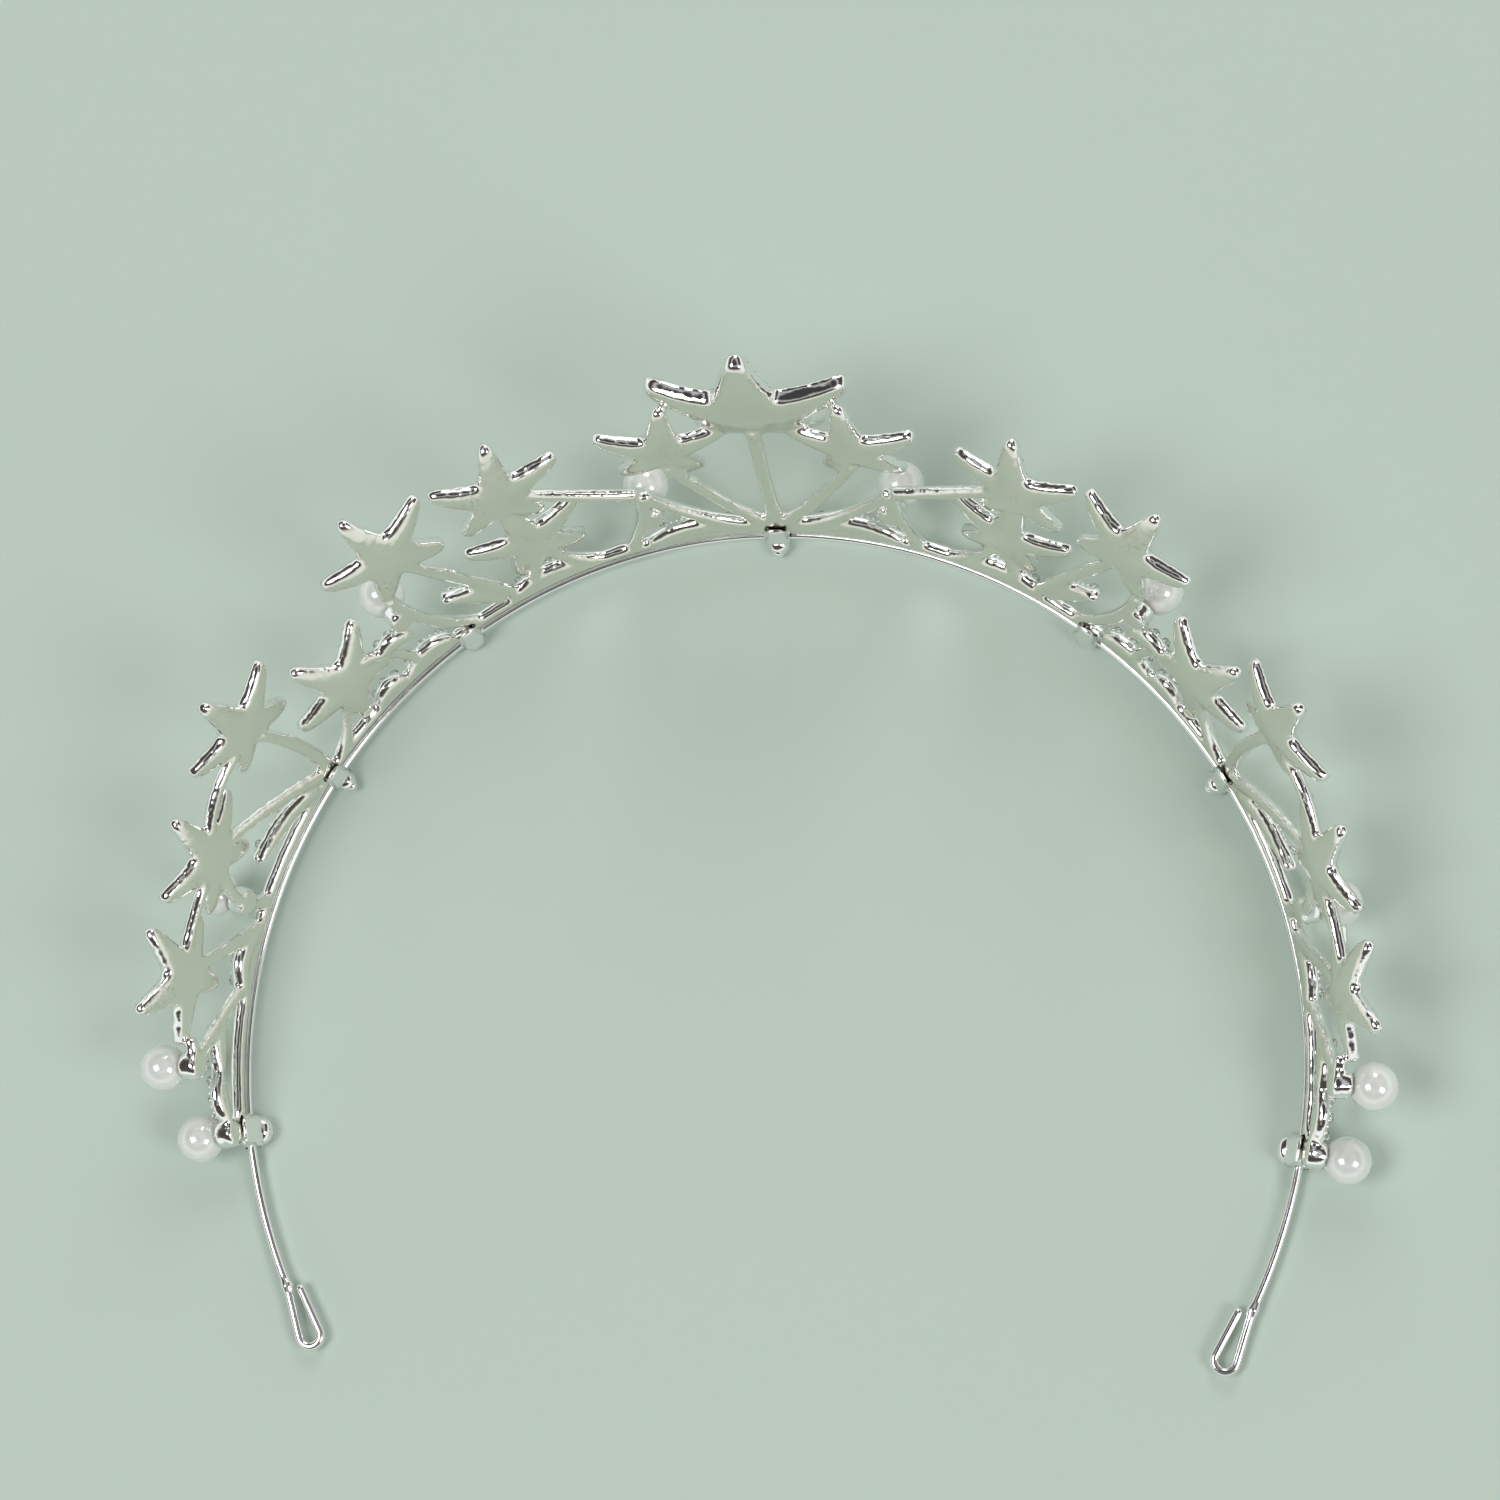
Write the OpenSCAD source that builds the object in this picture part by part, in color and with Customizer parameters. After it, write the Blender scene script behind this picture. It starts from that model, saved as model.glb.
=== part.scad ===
// Bridal tiara: three plated star castings and ten pearls, clipped to one springy headband wire.
// The wire lies flat, the castings stand up from it and flare outwards, and the front faces +Y.

/* [Headband wire] */
// Radius of the arch, to the middle of the wire
arch_r = 68; // [60:0.5:78]
// Diameter of the wire
wire_d = 1.2; // [1:0.1:1.6]
// Angle along the arch from its middle to each end clip
arch_half = 99; // [97:0.5:101]
// Radius of the flatter tail behind each end clip
tail_r = 76; // [50:1:110]
// Angle that each tail turns through
tail_sweep = 15.5; // [10:0.5:22]
// Length of the straight strand that leads into an end loop
loop_len = 6.8; // [5.2:0.2:8]
// Inside width of an end loop
loop_gap = 1.6; // [1.4:0.1:1.8]
// Angle that an end loop turns through, so that its end comes back to the knuckle
loop_turn = 191; // [191:1:197]
// Gap between that end and the strand beside it
loop_mouth = 0.3; // [0.2:0.1:0.4]
// Diameter of the pinched knuckle where a loop starts
knuckle_d = 1.7; // [1.6:0.1:2.2]
// Angle that a loop is turned outwards at its knuckle
neck_turn = 8; // [4:1:20]

/* [Castings] */
// Flare of the castings outwards from upright
flare = 16; // [8:1:22]
// Thickness of the castings
cast_t = 1.8; // [1.4:0.1:2.4]
// Height of the rail beside the wire
rail_h = 1.8; // [1.4:0.1:2.4]
// Width of a stem where it leaves the rail
stem_w = 1.7; // [1.3:0.1:2.2]
// Width of a leaf at its middle
leaf_w = 2.8; // [2.2:0.1:3.4]
// Width of a leaf at its tips
leaf_tip = 0.9; // [0.7:0.1:1.2]
// Gap between the ends of neighbouring castings
end_gap = 0.5; // [0.3:0.1:1]

/* [Stars] */
// Point radius of the large middle star
star_big_r = 13.2; // [12:0.2:14]
// Height of that star's middle up the wall
star_up = 30.2; // [29:0.2:31.4]
// Thickness of the large middle star
star_big_t = 2.5; // [2.2:0.1:2.8]
// Point radius of the other stars
star_r = 8.8; // [8:0.2:9.6]
// Rounding radius of a star's points
star_tip_r = 0.9; // [0.6:0.1:1.1]
// Inner corners of a star, as a share of its point radius
star_waist = 0.38; // [0.37:0.01:0.44]
// The same for the large star
star_big_waist = 0.48; // [0.44:0.01:0.52]
// Radius of the bowl that a star's middle is bent to, its points forwards
dish_r = 32; // [28:1:60]
// Width of the raised rim round a star's front
star_rim = 0.65; // [0.55:0.05:0.75]
// Depth of the pocket inside that rim
pocket_d = 0.7; // [0.4:0.1:0.9]

/* [Wire clips] */
// Thickness of the folded strip of a clip
clip_t = 0.8; // [0.6:0.1:1]
// Width of the clips along the wire
clip_w = 3.2; // [2.6:0.1:3.6]
// Width of the two end clips
end_clip_w = 4.2; // [3.6:0.1:5]
// Depth of the two end clips across the wire
end_clip_d = 4.2; // [3.8:0.1:4.6]
// Diameter of the rounded end of the strip inside the middle clips
fold_d = 1.5; // [1.2:0.1:1.8]
// Height of a clip's tab above the rail's lower edge
tab_h = 2.4; // [1.6:0.1:3]
// Room round the wire inside a clip
wire_clearance = 0.02; // [0.01:0.01:0.05]
// Room between a clip and the casting it is soldered to
solder_gap = 0.05; // [0.04:0.01:0.1]
// Angle along the arch to the upper clips
upper_clip = 36.5; // [36:0.5:37]
// Angle along the arch to the middle clips
mid_clip = 58; // [57:0.5:59]

/* [Pearls] */
// Diameter of a pearl
pearl_d = 6; // [5:0.2:7]
// Diameter of the peg that a pearl is glued on
peg_d = 1; // [0.8:0.1:1.2]
// Depth of the half-drilled hole in a pearl
peg_depth = 3; // [2:0.2:3.4]
// Room for glue round and beyond the peg
glue_gap = 0.05; // [0.03:0.01:0.1]
// Diameter of the cup that a pearl sits against
cup_d = 3.4; // [2.8:0.1:4]
// Height of that cup
cup_h = 0.7; // [0.5:0.1:1]

/* [Crystals] */
// Diameter of the crystal in the middle of a star
stone_d = 3; // [2.4:0.1:3.4]
// Diameter of the crystal in the middle of the large star
stone_big_d = 4.6; // [4:0.1:5]
// Diameter of the crystals along a star's arms
arm_stone_d = 1.4; // [1.2:0.1:1.5]
// Diameter of the crystals on a leaf
leaf_stone_d = 1.3; // [1.1:0.1:1.5]
// Height of a crystal as a share of its diameter
stone_rise = 0.45; // [0.3:0.05:0.6]
// Room for glue under the crystals of a star
stone_glue = 0.1; // [0.08:0.01:0.12]

/* [Hidden] */
STAR_NAMES = ["crown", "top", "middle", "outer", "temple", "side", "low", "end"];
PEARL_NAMES = ["crown", "temple", "side", "tip", "end"];

$fn = 48;
// Stretches in each stem or leaf
stem_steps = 6;
// Angle of one stretch of the rail
rail_step = 4;
// Facets of a star's rounded points and of the pegs, and of the pearls' cups
small_fn = 6;
cup_fn = 16;
// Arms of a star, and half the angle between two of them
arm_count = 5;
half_arm = 180 / arm_count;
overlap = 0.2;
// Stems lie a little below the rail's faces, by one of a few steps, and leaves stand a little above
face_step = 0.14;
stem_t = cast_t - face_step;
stem_levels = 5;
stem_level = 0.1;
leaf_t = cast_t + face_step;
// Fine and bold stems, beside the usual width
fine = 0.8 * stem_w;
bold = 1.3 * stem_w;
// Pocket of a star: how far its points stand back from the star's, and their rounding
pocket_point = 1.9 * star_rim;
pocket_tip_r = star_tip_r - 0.6 * star_rim;
// Distance of an arm's crystal inwards from the middle of the arm
arm_stone_in = 0.7 * star_rim;
// Longest stretch of a star's bowl between its middle and its points
dish_step = 4.5;
// Flat top of a crystal as a share of its diameter, and its girdle as a share of its height
stone_table = 0.55;
stone_girdle = 0.33;
mm_per_degree = arch_r * PI / 180;

wire_r = wire_d / 2;
bore_r = wire_r + wire_clearance;
clip_r = bore_r + clip_t;
rail_low = clip_r + solder_gap;
rail_mid = rail_low + rail_h / 2;
loop_r = (loop_gap + wire_d) / 2;
foot_z = clip_r;
pearl_out = cast_t / 2 + cup_h + pearl_d / 2;
rail_gap_angle = end_gap / 2 / arch_r * 180 / PI;
clip_back = cast_t / 2 + solder_gap + clip_t;
over_turn = loop_turn - 180;
loop_return = (loop_r * (1 + cos(over_turn)) - wire_d - loop_mouth) / sin(over_turn);

// Middle of the footprint: from the top point of the large star to the back of the end loops
big_star_lean = 14.3;
big_star_tilt = flare - big_star_lean;
big_star_front = dish(star_big_r) + star_big_t / 2;
big_star_y = arch_r + star_up * sin(flare);
front_y = big_star_y + star_big_r * sin(big_star_tilt) + big_star_front * cos(big_star_tilt);
tail_angle = arch_half + tail_sweep;
tail_c = (arch_r - tail_r) * cos(arch_half);
neck_y = tail_c + tail_r * cos(tail_angle);
loop_angle = tail_angle - neck_turn;
back_y = neck_y - loop_len * sin(loop_angle) - loop_r * cos(loop_angle) - loop_r - wire_r;
frame_y = (front_y + back_y) / 2;

// Plan of the castings. It is drawn for the places below, and moves with the clips, rail and large star.
plan_upper = 36.5;
plan_mid = 58;
plan_end = 99;
plan_rail = 2.37;
plan_top = 30.2;
PLAN_ANGLES = [[0, 0], [plan_upper, upper_clip], [plan_mid, mid_clip], [plan_end, arch_half]];

// Stars of one side: arch angle, height up the wall, turn of the star, lean back from the wall
STAR_CROWN = [9.2, 23.4, 9, 5];
STAR_TOP = [25.4, 25, 11, -3];
STAR_MIDDLE = [25, 12.5, -8, 2];
STAR_OUTER = [37.5, 26.3, -11, -7];
STAR_TEMPLE = [49.2, 11.6, -25, -5];
STAR_SIDE = [58.9, 23.6, -3, 4];
STAR_LOW = [71.5, 17.2, 15, 0];
STAR_END = [83.8, 16.2, -38, -1];
STAR_CENTRE = [0, plan_top, 0, big_star_lean];

// Pearls of one side: arch angle and height up the wall
PEARL_CROWN = [12.8, 8.6];
PEARL_TEMPLE = [40.7, 13.6];
PEARL_SIDE = [74.6, 7];
PEARL_TIP = [92.4, 12.3];
PEARL_END = [99.2, 4.6];

// Stems and leaves: start, bend and end on the wall, then the widths at start, middle and end.
// The sides of the centre casting mirror each other.
hub = [0, plan_rail + 0.4];
CENTRE_SPOKE = [hub, [0, 12], [0, 27.5], bold, stem_w, stem_w];
CENTRE_STEMS = [
    [hub, [5, 8], [9.4, 20.6], bold, stem_w, fine],
    [hub, [8, 4], [13, 14.5], bold, stem_w, stem_w],
    [[13, 14.5], [18, 17], [23.5, 23.3], stem_w, stem_w, fine],
    [[13, 14.5], [13.2, 8], [16, plan_rail], fine, fine, stem_w],
    [[25.8, 22.3], [25.9, 21.5], [26, 20.6], fine, fine, fine],
    [[24.4, 9.6], [23, 4.6], [19.5, plan_rail], fine, fine, stem_w],
    [[25, 9.5], [26.5, 5], [29, plan_rail], fine, fine, stem_w],
    [[37, 23.3], [34.5, 16], [29.2, plan_rail], fine, stem_w, stem_w],
    [[40.2, 19], [39.8, 8], [plan_upper - 1.9, plan_rail], fine, stem_w, stem_w],
    [[39.6, 14.4], [40, 14], PEARL_TEMPLE, fine, fine, fine],
    [[13.1, 12], [13, 11], PEARL_CROWN, fine, fine, fine]
];
CENTRE_LEAVES = [
    [[3.3, plan_rail + 0.7], [8.2, 5.7], [14, plan_rail + 0.4], leaf_tip, leaf_w, leaf_tip],
    [[36.3, 11.4], [33, 8.4], [31, 3.6], leaf_tip, leaf_w, leaf_tip],
    [[30.5, plan_rail + 0.4], [25, 5.6], [20.5, plan_rail], leaf_tip, leaf_w, leaf_tip]
];
SIDE_STEMS = [
    [[50.8, 9.3], [53, 4], [plan_mid - 2, plan_rail], fine, stem_w, stem_w],
    [[plan_mid, plan_rail], [56.5, 9], [58.8, 20.8], bold, stem_w, fine],
    [[plan_mid, plan_rail], [64.3, 10.2], [69.6, 15.4], bold, stem_w, fine],
    [[61.2, 22.4], [66, 23], [69.8, 19.3], fine, fine, fine],
    [[74, 16.9], [78, 17.2], [81.6, 17], fine, fine, fine],
    [[72.2, 14.4], [76.5, 8.5], [73.5, plan_rail], fine, fine, stem_w],
    [[82.4, 14], [79.5, 6.5], [76.5, plan_rail], fine, stem_w, stem_w],
    [[92, 12.4], [87.4, 6.8], [82.5, plan_rail], fine, stem_w, stem_w],
    [[89.6, 13.5], [91, 13], PEARL_TIP, fine, fine, fine],
    [[97, plan_rail], [98.2, 3.2], PEARL_END, stem_w, fine, fine],
    [[47.2, 12.8], [43.2, 10.8], [42, plan_rail], fine, fine, stem_w]
];
SIDE_LEAVES = [
    [[45, 10.8], [43, 11.8], [40.8, 9.7], leaf_tip, leaf_w, leaf_tip],
    [[38, plan_rail + 0.6], [41, 5.6], [44.5, plan_rail + 0.3], leaf_tip, leaf_w, leaf_tip],
    [[44.8, plan_rail + 0.3], [46.8, 5], [49, plan_rail + 0.2], leaf_tip, leaf_w, leaf_tip],
    [[60.2, plan_rail + 0.6], [64, 5.7], [70.5, 7.5], leaf_tip, leaf_w, leaf_tip],
    [[77.5, plan_rail + 0.3], [80.5, 5.6], [84, plan_rail + 0.4], leaf_tip, leaf_w, leaf_tip],
    [[87.2, 7], [90, 7.5], [93, 6.9], leaf_tip, leaf_w, leaf_tip],
    [[92.7, 6.9], [95.5, 7.3], [98.2, 5.4], leaf_tip, leaf_w, leaf_tip]
];

// Place on the wall of a point of the plan, and a stem or leaf with its points placed
function placed(p) = [
    lookup(p[0], PLAN_ANGLES),
    rail_mid + (p[1] - plan_rail) * (star_up - rail_mid) / (plan_top - plan_rail)
];
function laid(p) = [placed(p[0]), placed(p[1]), placed(p[2]), p[3], p[4], p[5]];

// Depth of a star's bowl at a distance from its middle
function dish(distance) = distance * distance / (2 * dish_r);

// Point on a bend through three control values, and the width there
function bent(p, u) = (1 - u) * (1 - u) * p[0] + 2 * u * (1 - u) * p[1] + u * u * p[2];
function width(p, u) =
    let (end = u < 0.5 ? p[3] : p[5])
    end + (p[4] - end) * sin(180 * u);

// Direction of a bend there, in mm along the arch and up the wall, and its sideways unit vector
function slope(p, u) = 2 * (1 - u) * (p[1] - p[0]) + 2 * u * (p[2] - p[1]);
function sideways(p, u) =
    let (d = slope(p, u), run = [d[0] * mm_per_degree, d[1]])
    [-run[1] / mm_per_degree, run[0]] / norm(run);

// Point of the flared wall: angle along the arch, height up the wall, distance out from its middle
function wall_point(at, out) =
    let (y = arch_r + at[1] * sin(flare) + out * cos(flare))
    [y * sin(at[0]), y * cos(at[0]), at[1] * cos(flare) - out * sin(flare)];

// Four corners of a stem's cross-section: back left, back right, front right, front left
function section(p, u, half_t) = [
    for (c = [[1, -1], [-1, -1], [-1, 1], [1, 1]])
        wall_point(bent(p, u) + sideways(p, u) * c[0] * width(p, u) / 2, c[1] * half_t)
];

// Clockwise turn of a flat point
function turned(p, a) = [p[0] * cos(a) + p[1] * sin(a), p[1] * cos(a) - p[0] * sin(a)];

// Turn from a star arm's middle line to where its rounded tip meets the straight edge to the waist
function tip_turn(r, tip_r, waist_r) =
    let (d = waist_r * [sin(half_arm), cos(half_arm)] - [0, r - tip_r])
    atan2(d[0], d[1]) - acos(tip_r / norm(d));

// Places children in the part's frame, which stands on the clips' feet
module in_frame() translate([0, -frame_y, foot_z]) children();

// Places children on the arch at an angle: x along the wire, y outwards, z up
module on_arch(angle) in_frame() rotate([0, 0, -angle]) translate([0, arch_r, 0]) children();

// Places children on the flared wall: x along the arch, y outwards, z up the wall
module on_wall(at) on_arch(at[0]) rotate([-flare, 0, 0]) translate([0, 0, at[1]]) children();

// Places children on the middle plane of a star
module on_star(s) on_wall(placed(s)) rotate([s[3], 0, 0]) rotate([0, -s[2], 0]) children();

// Draws children on the right, or mirrored on the left
module on_side(right) mirror([right ? 0 : 1, 0, 0]) children();

module prism_out(depth) rotate([90, 0, 0]) linear_extrude(depth, center = true) children();

// Flat outline of a star: a rounded tip and an inner corner for each arm, the first arm upwards
function star_outline(r, tip_r, waist_r) =
    let (
        turn = tip_turn(r, tip_r, waist_r),
        tip = [
            for (i = [0 : small_fn])
                let (a = turn * (2 * i / small_fn - 1))
                [tip_r * sin(a), r - tip_r + tip_r * cos(a)]
        ],
        arm = concat(tip, [waist_r * [sin(half_arm), cos(half_arm)]])
    )
    [for (k = [0 : arm_count - 1]) for (p = arm) turned(p, 2 * k * half_arm)];

// An outline at a share of its size and at a depth, bent to the bowl
function bowl_ring(outline, share, depth) =
    [for (p = outline) [share * p[0], depth + dish(share * norm(p)), share * p[1]]];

// Star of a casting: bent to a bowl, with the pocket for its crystals in front
module star_body(s, r, t, waist) on_star(s) {
    edge = star_outline(r, star_tip_r, r * waist);
    pocket = star_outline(r - pocket_point, pocket_tip_r, r * waist - star_rim);
    floor_y = t / 2 - pocket_d;
    steps = ceil(r / dish_step);
    rings = concat(
        [for (i = [1 : steps]) bowl_ring(edge, i / steps, -t / 2)],
        [bowl_ring(edge, 1, t / 2), bowl_ring(pocket, 1, t / 2)],
        [for (i = [steps : -1 : 1]) bowl_ring(pocket, i / steps, floor_y)]
    );
    around = len(edge);
    last = around * len(rings);
    sides = [for (j = [0 : len(rings) - 2]) for (i = [0 : around - 1])
        let (a = around * j, b = a + around, n = (i + 1) % around)
        for (f = [[a + i, b + i, b + n], [a + i, b + n, a + n]]) f];
    ends = [for (i = [0 : around - 1])
        let (n = (i + 1) % around)
        for (f = [[last, i, n], [last - around + i, last + 1, last - around + n]]) f];
    middles = [[0, -t / 2, 0], [0, floor_y, 0]];
    polyhedron(concat([for (ring = rings) for (p = ring) p], middles), concat(sides, ends));
}

// Strip of metal along a bend on the wall
module strip(p, thickness, steps) {
    rings = [for (i = [0 : steps]) section(p, i / steps, thickness / 2)];
    last = 4 * steps;
    sides = [for (i = [0 : steps - 1]) for (k = [0 : 3])
        let (a = 4 * i + k, b = 4 * i + (k + 1) % 4)
        for (f = [[a, b + 4, b], [a, a + 4, b + 4]]) f];
    ends = [[0, 1, 2], [0, 2, 3], [last, last + 2, last + 1], [last, last + 3, last + 2]];
    in_frame() polyhedron([for (r = rings) for (v = r) v], concat(sides, ends));
}

module stem(p, thickness) strip(laid(p), thickness, stem_steps);

// Stems of one casting, the crossing ones of different thickness
module stems(paths, thickest)
    for (i = [0 : len(paths) - 1]) stem(paths[i], thickest - (i % stem_levels) * stem_level);

module rail(from, to) strip(
    [[from, rail_mid], [(from + to) / 2, rail_mid], [to, rail_mid], rail_h, rail_h, rail_h],
    cast_t, ceil((to - from) / rail_step)
);

module pearl_seat(at) on_wall(placed(at)) {
    translate([0, cast_t / 2 - overlap, 0]) rotate([-90, 0, 0])
        cylinder(d = cup_d, h = cup_h + overlap, $fn = cup_fn);
    translate([0, cast_t / 2, 0]) rotate([-90, 0, 0])
        cylinder(d = peg_d, h = cup_h + peg_depth, $fn = small_fn);
    rotate([90, 0, 0]) cylinder(d = cup_d, h = cast_t, center = true, $fn = cup_fn);
}

module pearl(at) color("ivory") on_wall(placed(at)) translate([0, pearl_out, 0]) difference() {
    sphere(d = pearl_d);
    translate([0, peg_depth - pearl_d / 2 + glue_gap, 0]) rotate([90, 0, 0])
        cylinder(d = peg_d + 2 * glue_gap, h = pearl_d);
}

// Flat-backed crystal with a short girdle and a sloping crown, rising from the origin along y
module crystal(d) {
    girdle = d * stone_rise * stone_girdle;
    rotate([-90, 0, 0]) {
        cylinder(d = d, h = girdle);
        translate([0, 0, girdle]) cylinder(d1 = d, d2 = d * stone_table, h = d * stone_rise - girdle);
    }
}

// Crystals glued on the floor of a star's pocket, those of the arms square to the bowl
module star_crystals(s, r, t, waist, middle_d) color("white") on_star(s) {
    floor_y = t / 2 - pocket_d + stone_glue;
    reach = (r * waist + r) / 2 - arm_stone_in;
    translate([0, floor_y + dish(middle_d / 2), 0]) crystal(middle_d);
    for (k = [0 : arm_count - 1]) rotate([0, 2 * k * half_arm, 0])
        translate([0, floor_y + dish(reach), reach]) rotate([-atan(reach / dish_r), 0, 0])
            crystal(arm_stone_d);
}

module leaf_crystals(leaves) color("white") for (p = leaves) for (i = [1 : 2 : stem_steps - 1])
    on_wall(bent(laid(p), i / stem_steps)) translate([0, leaf_t / 2, 0]) crystal(leaf_stone_d);

// Folded strip that wraps the wire, stands on a flat foot and runs up behind the rail
module clip(angle, w, reach) on_arch(angle) rotate([90, 0, 90]) linear_extrude(w, center = true)
    difference() {
        union() {
            circle(r = clip_r);
            translate([-reach, -clip_r]) square([2 * reach, clip_r]);
            translate([-reach, -clip_r]) square([reach, 2 * clip_r]);
            rotate(-flare) translate([-clip_back, 0]) square([clip_t, rail_low + tab_h]);
        }
        circle(r = bore_r);
    }

// Clip whose strip ends in a rounded fold inside the wire
module folded_clip(angle) color("silver") {
    clip(angle, clip_w, clip_back);
    on_arch(angle) translate([0, overlap - clip_back - fold_d / 2, 0]) sphere(d = fold_d);
}

module plain_clip(angle) color("silver") clip(angle, clip_w, clip_back);

module end_clip() color("silver") clip(arch_half, end_clip_w, end_clip_d / 2);

// A bend of the wire to the left from the origin, heading +y, and then what follows it
module bend(r, turn) {
    translate([-r, 0, 0]) rotate_extrude(angle = turn) translate([r, 0]) circle(d = wire_d);
    translate([-r, 0, 0]) rotate(turn) translate([r, 0, 0]) children();
}

module strand(length) {
    rotate([-90, 0, 0]) cylinder(d = wire_d, h = length);
    translate([0, length, 0]) children();
}

// Tail behind an end clip: it turns in to the knuckle, where the end loop starts
module tail() bend(tail_r, tail_sweep) {
    sphere(d = knuckle_d);
    rotate(-neck_turn) strand(loop_len)
        bend(loop_r, loop_turn / 2) bend(loop_r, loop_turn / 2) strand(loop_return);
}

module headband_wire() color("silver") in_frame() {
    rotate(90 - arch_half) rotate_extrude(angle = 2 * arch_half) translate([arch_r, 0]) circle(d = wire_d);
    for (right = [false, true]) on_side(right) rotate(90 + arch_half) translate([arch_r, 0, 0]) tail();
}

module centre_half(thickest) {
    for (s = [STAR_CROWN, STAR_TOP, STAR_MIDDLE, STAR_OUTER]) star_body(s, star_r, cast_t, star_waist);
    stems(CENTRE_STEMS, thickest);
    for (p = CENTRE_LEAVES) stem(p, leaf_t);
    for (at = [PEARL_CROWN, PEARL_TEMPLE]) pearl_seat(at);
}

module centre_casting() color("gainsboro") {
    reach = upper_clip - rail_gap_angle;
    rail(-reach, reach);
    star_body(STAR_CENTRE, star_big_r, star_big_t, star_big_waist);
    stem(CENTRE_SPOKE, stem_t);
    for (right = [false, true]) on_side(right) centre_half(right ? stem_t : stem_t - stem_level / 2);
}

module side_casting(right) color("gainsboro") on_side(right) {
    rail(upper_clip + rail_gap_angle, arch_half);
    for (s = [STAR_TEMPLE, STAR_SIDE, STAR_LOW, STAR_END]) star_body(s, star_r, cast_t, star_waist);
    stems(SIDE_STEMS, stem_t);
    for (p = SIDE_LEAVES) stem(p, leaf_t);
    for (at = [PEARL_SIDE, PEARL_TIP, PEARL_END]) pearl_seat(at);
}

STARS = [STAR_CROWN, STAR_TOP, STAR_MIDDLE, STAR_OUTER, STAR_TEMPLE, STAR_SIDE, STAR_LOW, STAR_END];
PEARLS = [PEARL_CROWN, PEARL_TEMPLE, PEARL_SIDE, PEARL_TIP, PEARL_END];

headband_wire();
centre_casting();
side_casting(false);  // left_casting
side_casting(true);  // right_casting
folded_clip(0);  // clip_centre
on_side(false) plain_clip(upper_clip);  // clip_upper_left
on_side(true) plain_clip(upper_clip);  // clip_upper_right
on_side(false) folded_clip(mid_clip);  // clip_middle_left
on_side(true) folded_clip(mid_clip);  // clip_middle_right
on_side(false) end_clip();  // clip_end_left
on_side(true) end_clip();  // clip_end_right
for (i = [0 : len(PEARLS) - 1]) {
    on_side(false) pearl(PEARLS[i]);
    on_side(true) pearl(PEARLS[i]);
}
star_crystals(STAR_CENTRE, star_big_r, star_big_t, star_big_waist, stone_big_d);  // crystals_star_centre
for (i = [0 : len(STARS) - 1]) {
    on_side(false) star_crystals(STARS[i], star_r, cast_t, star_waist, stone_d);
    on_side(true) star_crystals(STARS[i], star_r, cast_t, star_waist, stone_d);
}
for (right = [false, true]) on_side(right) leaf_crystals(CENTRE_LEAVES);  // crystals_leaves_centre
on_side(false) leaf_crystals(SIDE_LEAVES);  // crystals_leaves_left
on_side(true) leaf_crystals(SIDE_LEAVES);  // crystals_leaves_right
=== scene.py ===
"""Looks of a bridal tiara: plated star castings, pearls and crystals on one springy headband wire.

The sizes of the pieces are in millimetres, as a jeweller gives them, and Surface.mesh turns them into
metres. A place on the tiara is an angle along the arch in degrees, 0 at the front and growing to the
right, and a height up the flared wall of castings that stands on the arch.
"""

from __future__ import annotations

import logging
from collections.abc import Iterable
from dataclasses import dataclass, field
from enum import Enum
from functools import cached_property

import bmesh
import bpy
import numpy as np
from mathutils import Matrix, Vector


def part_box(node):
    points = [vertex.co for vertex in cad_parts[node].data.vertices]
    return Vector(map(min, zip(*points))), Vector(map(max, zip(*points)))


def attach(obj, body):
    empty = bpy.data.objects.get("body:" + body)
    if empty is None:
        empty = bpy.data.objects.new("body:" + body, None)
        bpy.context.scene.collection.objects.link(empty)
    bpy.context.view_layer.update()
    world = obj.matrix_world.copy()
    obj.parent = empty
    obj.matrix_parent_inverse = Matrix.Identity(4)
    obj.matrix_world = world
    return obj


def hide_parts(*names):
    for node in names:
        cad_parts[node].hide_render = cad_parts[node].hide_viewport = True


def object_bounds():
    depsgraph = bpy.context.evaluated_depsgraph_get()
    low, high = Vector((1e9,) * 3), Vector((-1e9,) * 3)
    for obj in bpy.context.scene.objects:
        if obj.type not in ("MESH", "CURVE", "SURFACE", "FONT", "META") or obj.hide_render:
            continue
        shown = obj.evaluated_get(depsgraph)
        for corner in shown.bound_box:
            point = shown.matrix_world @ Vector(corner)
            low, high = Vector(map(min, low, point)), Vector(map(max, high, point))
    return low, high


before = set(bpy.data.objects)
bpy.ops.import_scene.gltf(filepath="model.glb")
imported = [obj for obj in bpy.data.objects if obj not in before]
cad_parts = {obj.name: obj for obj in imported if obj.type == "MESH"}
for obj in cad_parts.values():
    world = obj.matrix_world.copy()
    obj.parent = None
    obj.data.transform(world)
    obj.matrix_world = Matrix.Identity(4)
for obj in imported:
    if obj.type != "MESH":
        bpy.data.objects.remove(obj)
CAD_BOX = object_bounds()

MM = 0.001
BODY = "root"
Array = np.ndarray
Material, Socket, Thing = bpy.types.Material, bpy.types.NodeSocket, bpy.types.Object
Colour = tuple[float, float, float, float]
Row = tuple[float, float, float]
log = logging.getLogger("tiara")


class Side(Enum):
    """Half of the tiara, with the sign of its X."""

    LEFT = -1
    RIGHT = 1

    @property
    def word(self) -> str:
        """Name of the side in node names."""
        return self.name.lower()


class Slot(Enum):
    """Material slots of the record."""

    SILVER = "silver_plate"
    CLIP = "clip_strip"
    WIRE = "wire"
    PEARL = "pearl"
    CRYSTAL = "crystal"


# Surfaces


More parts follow.
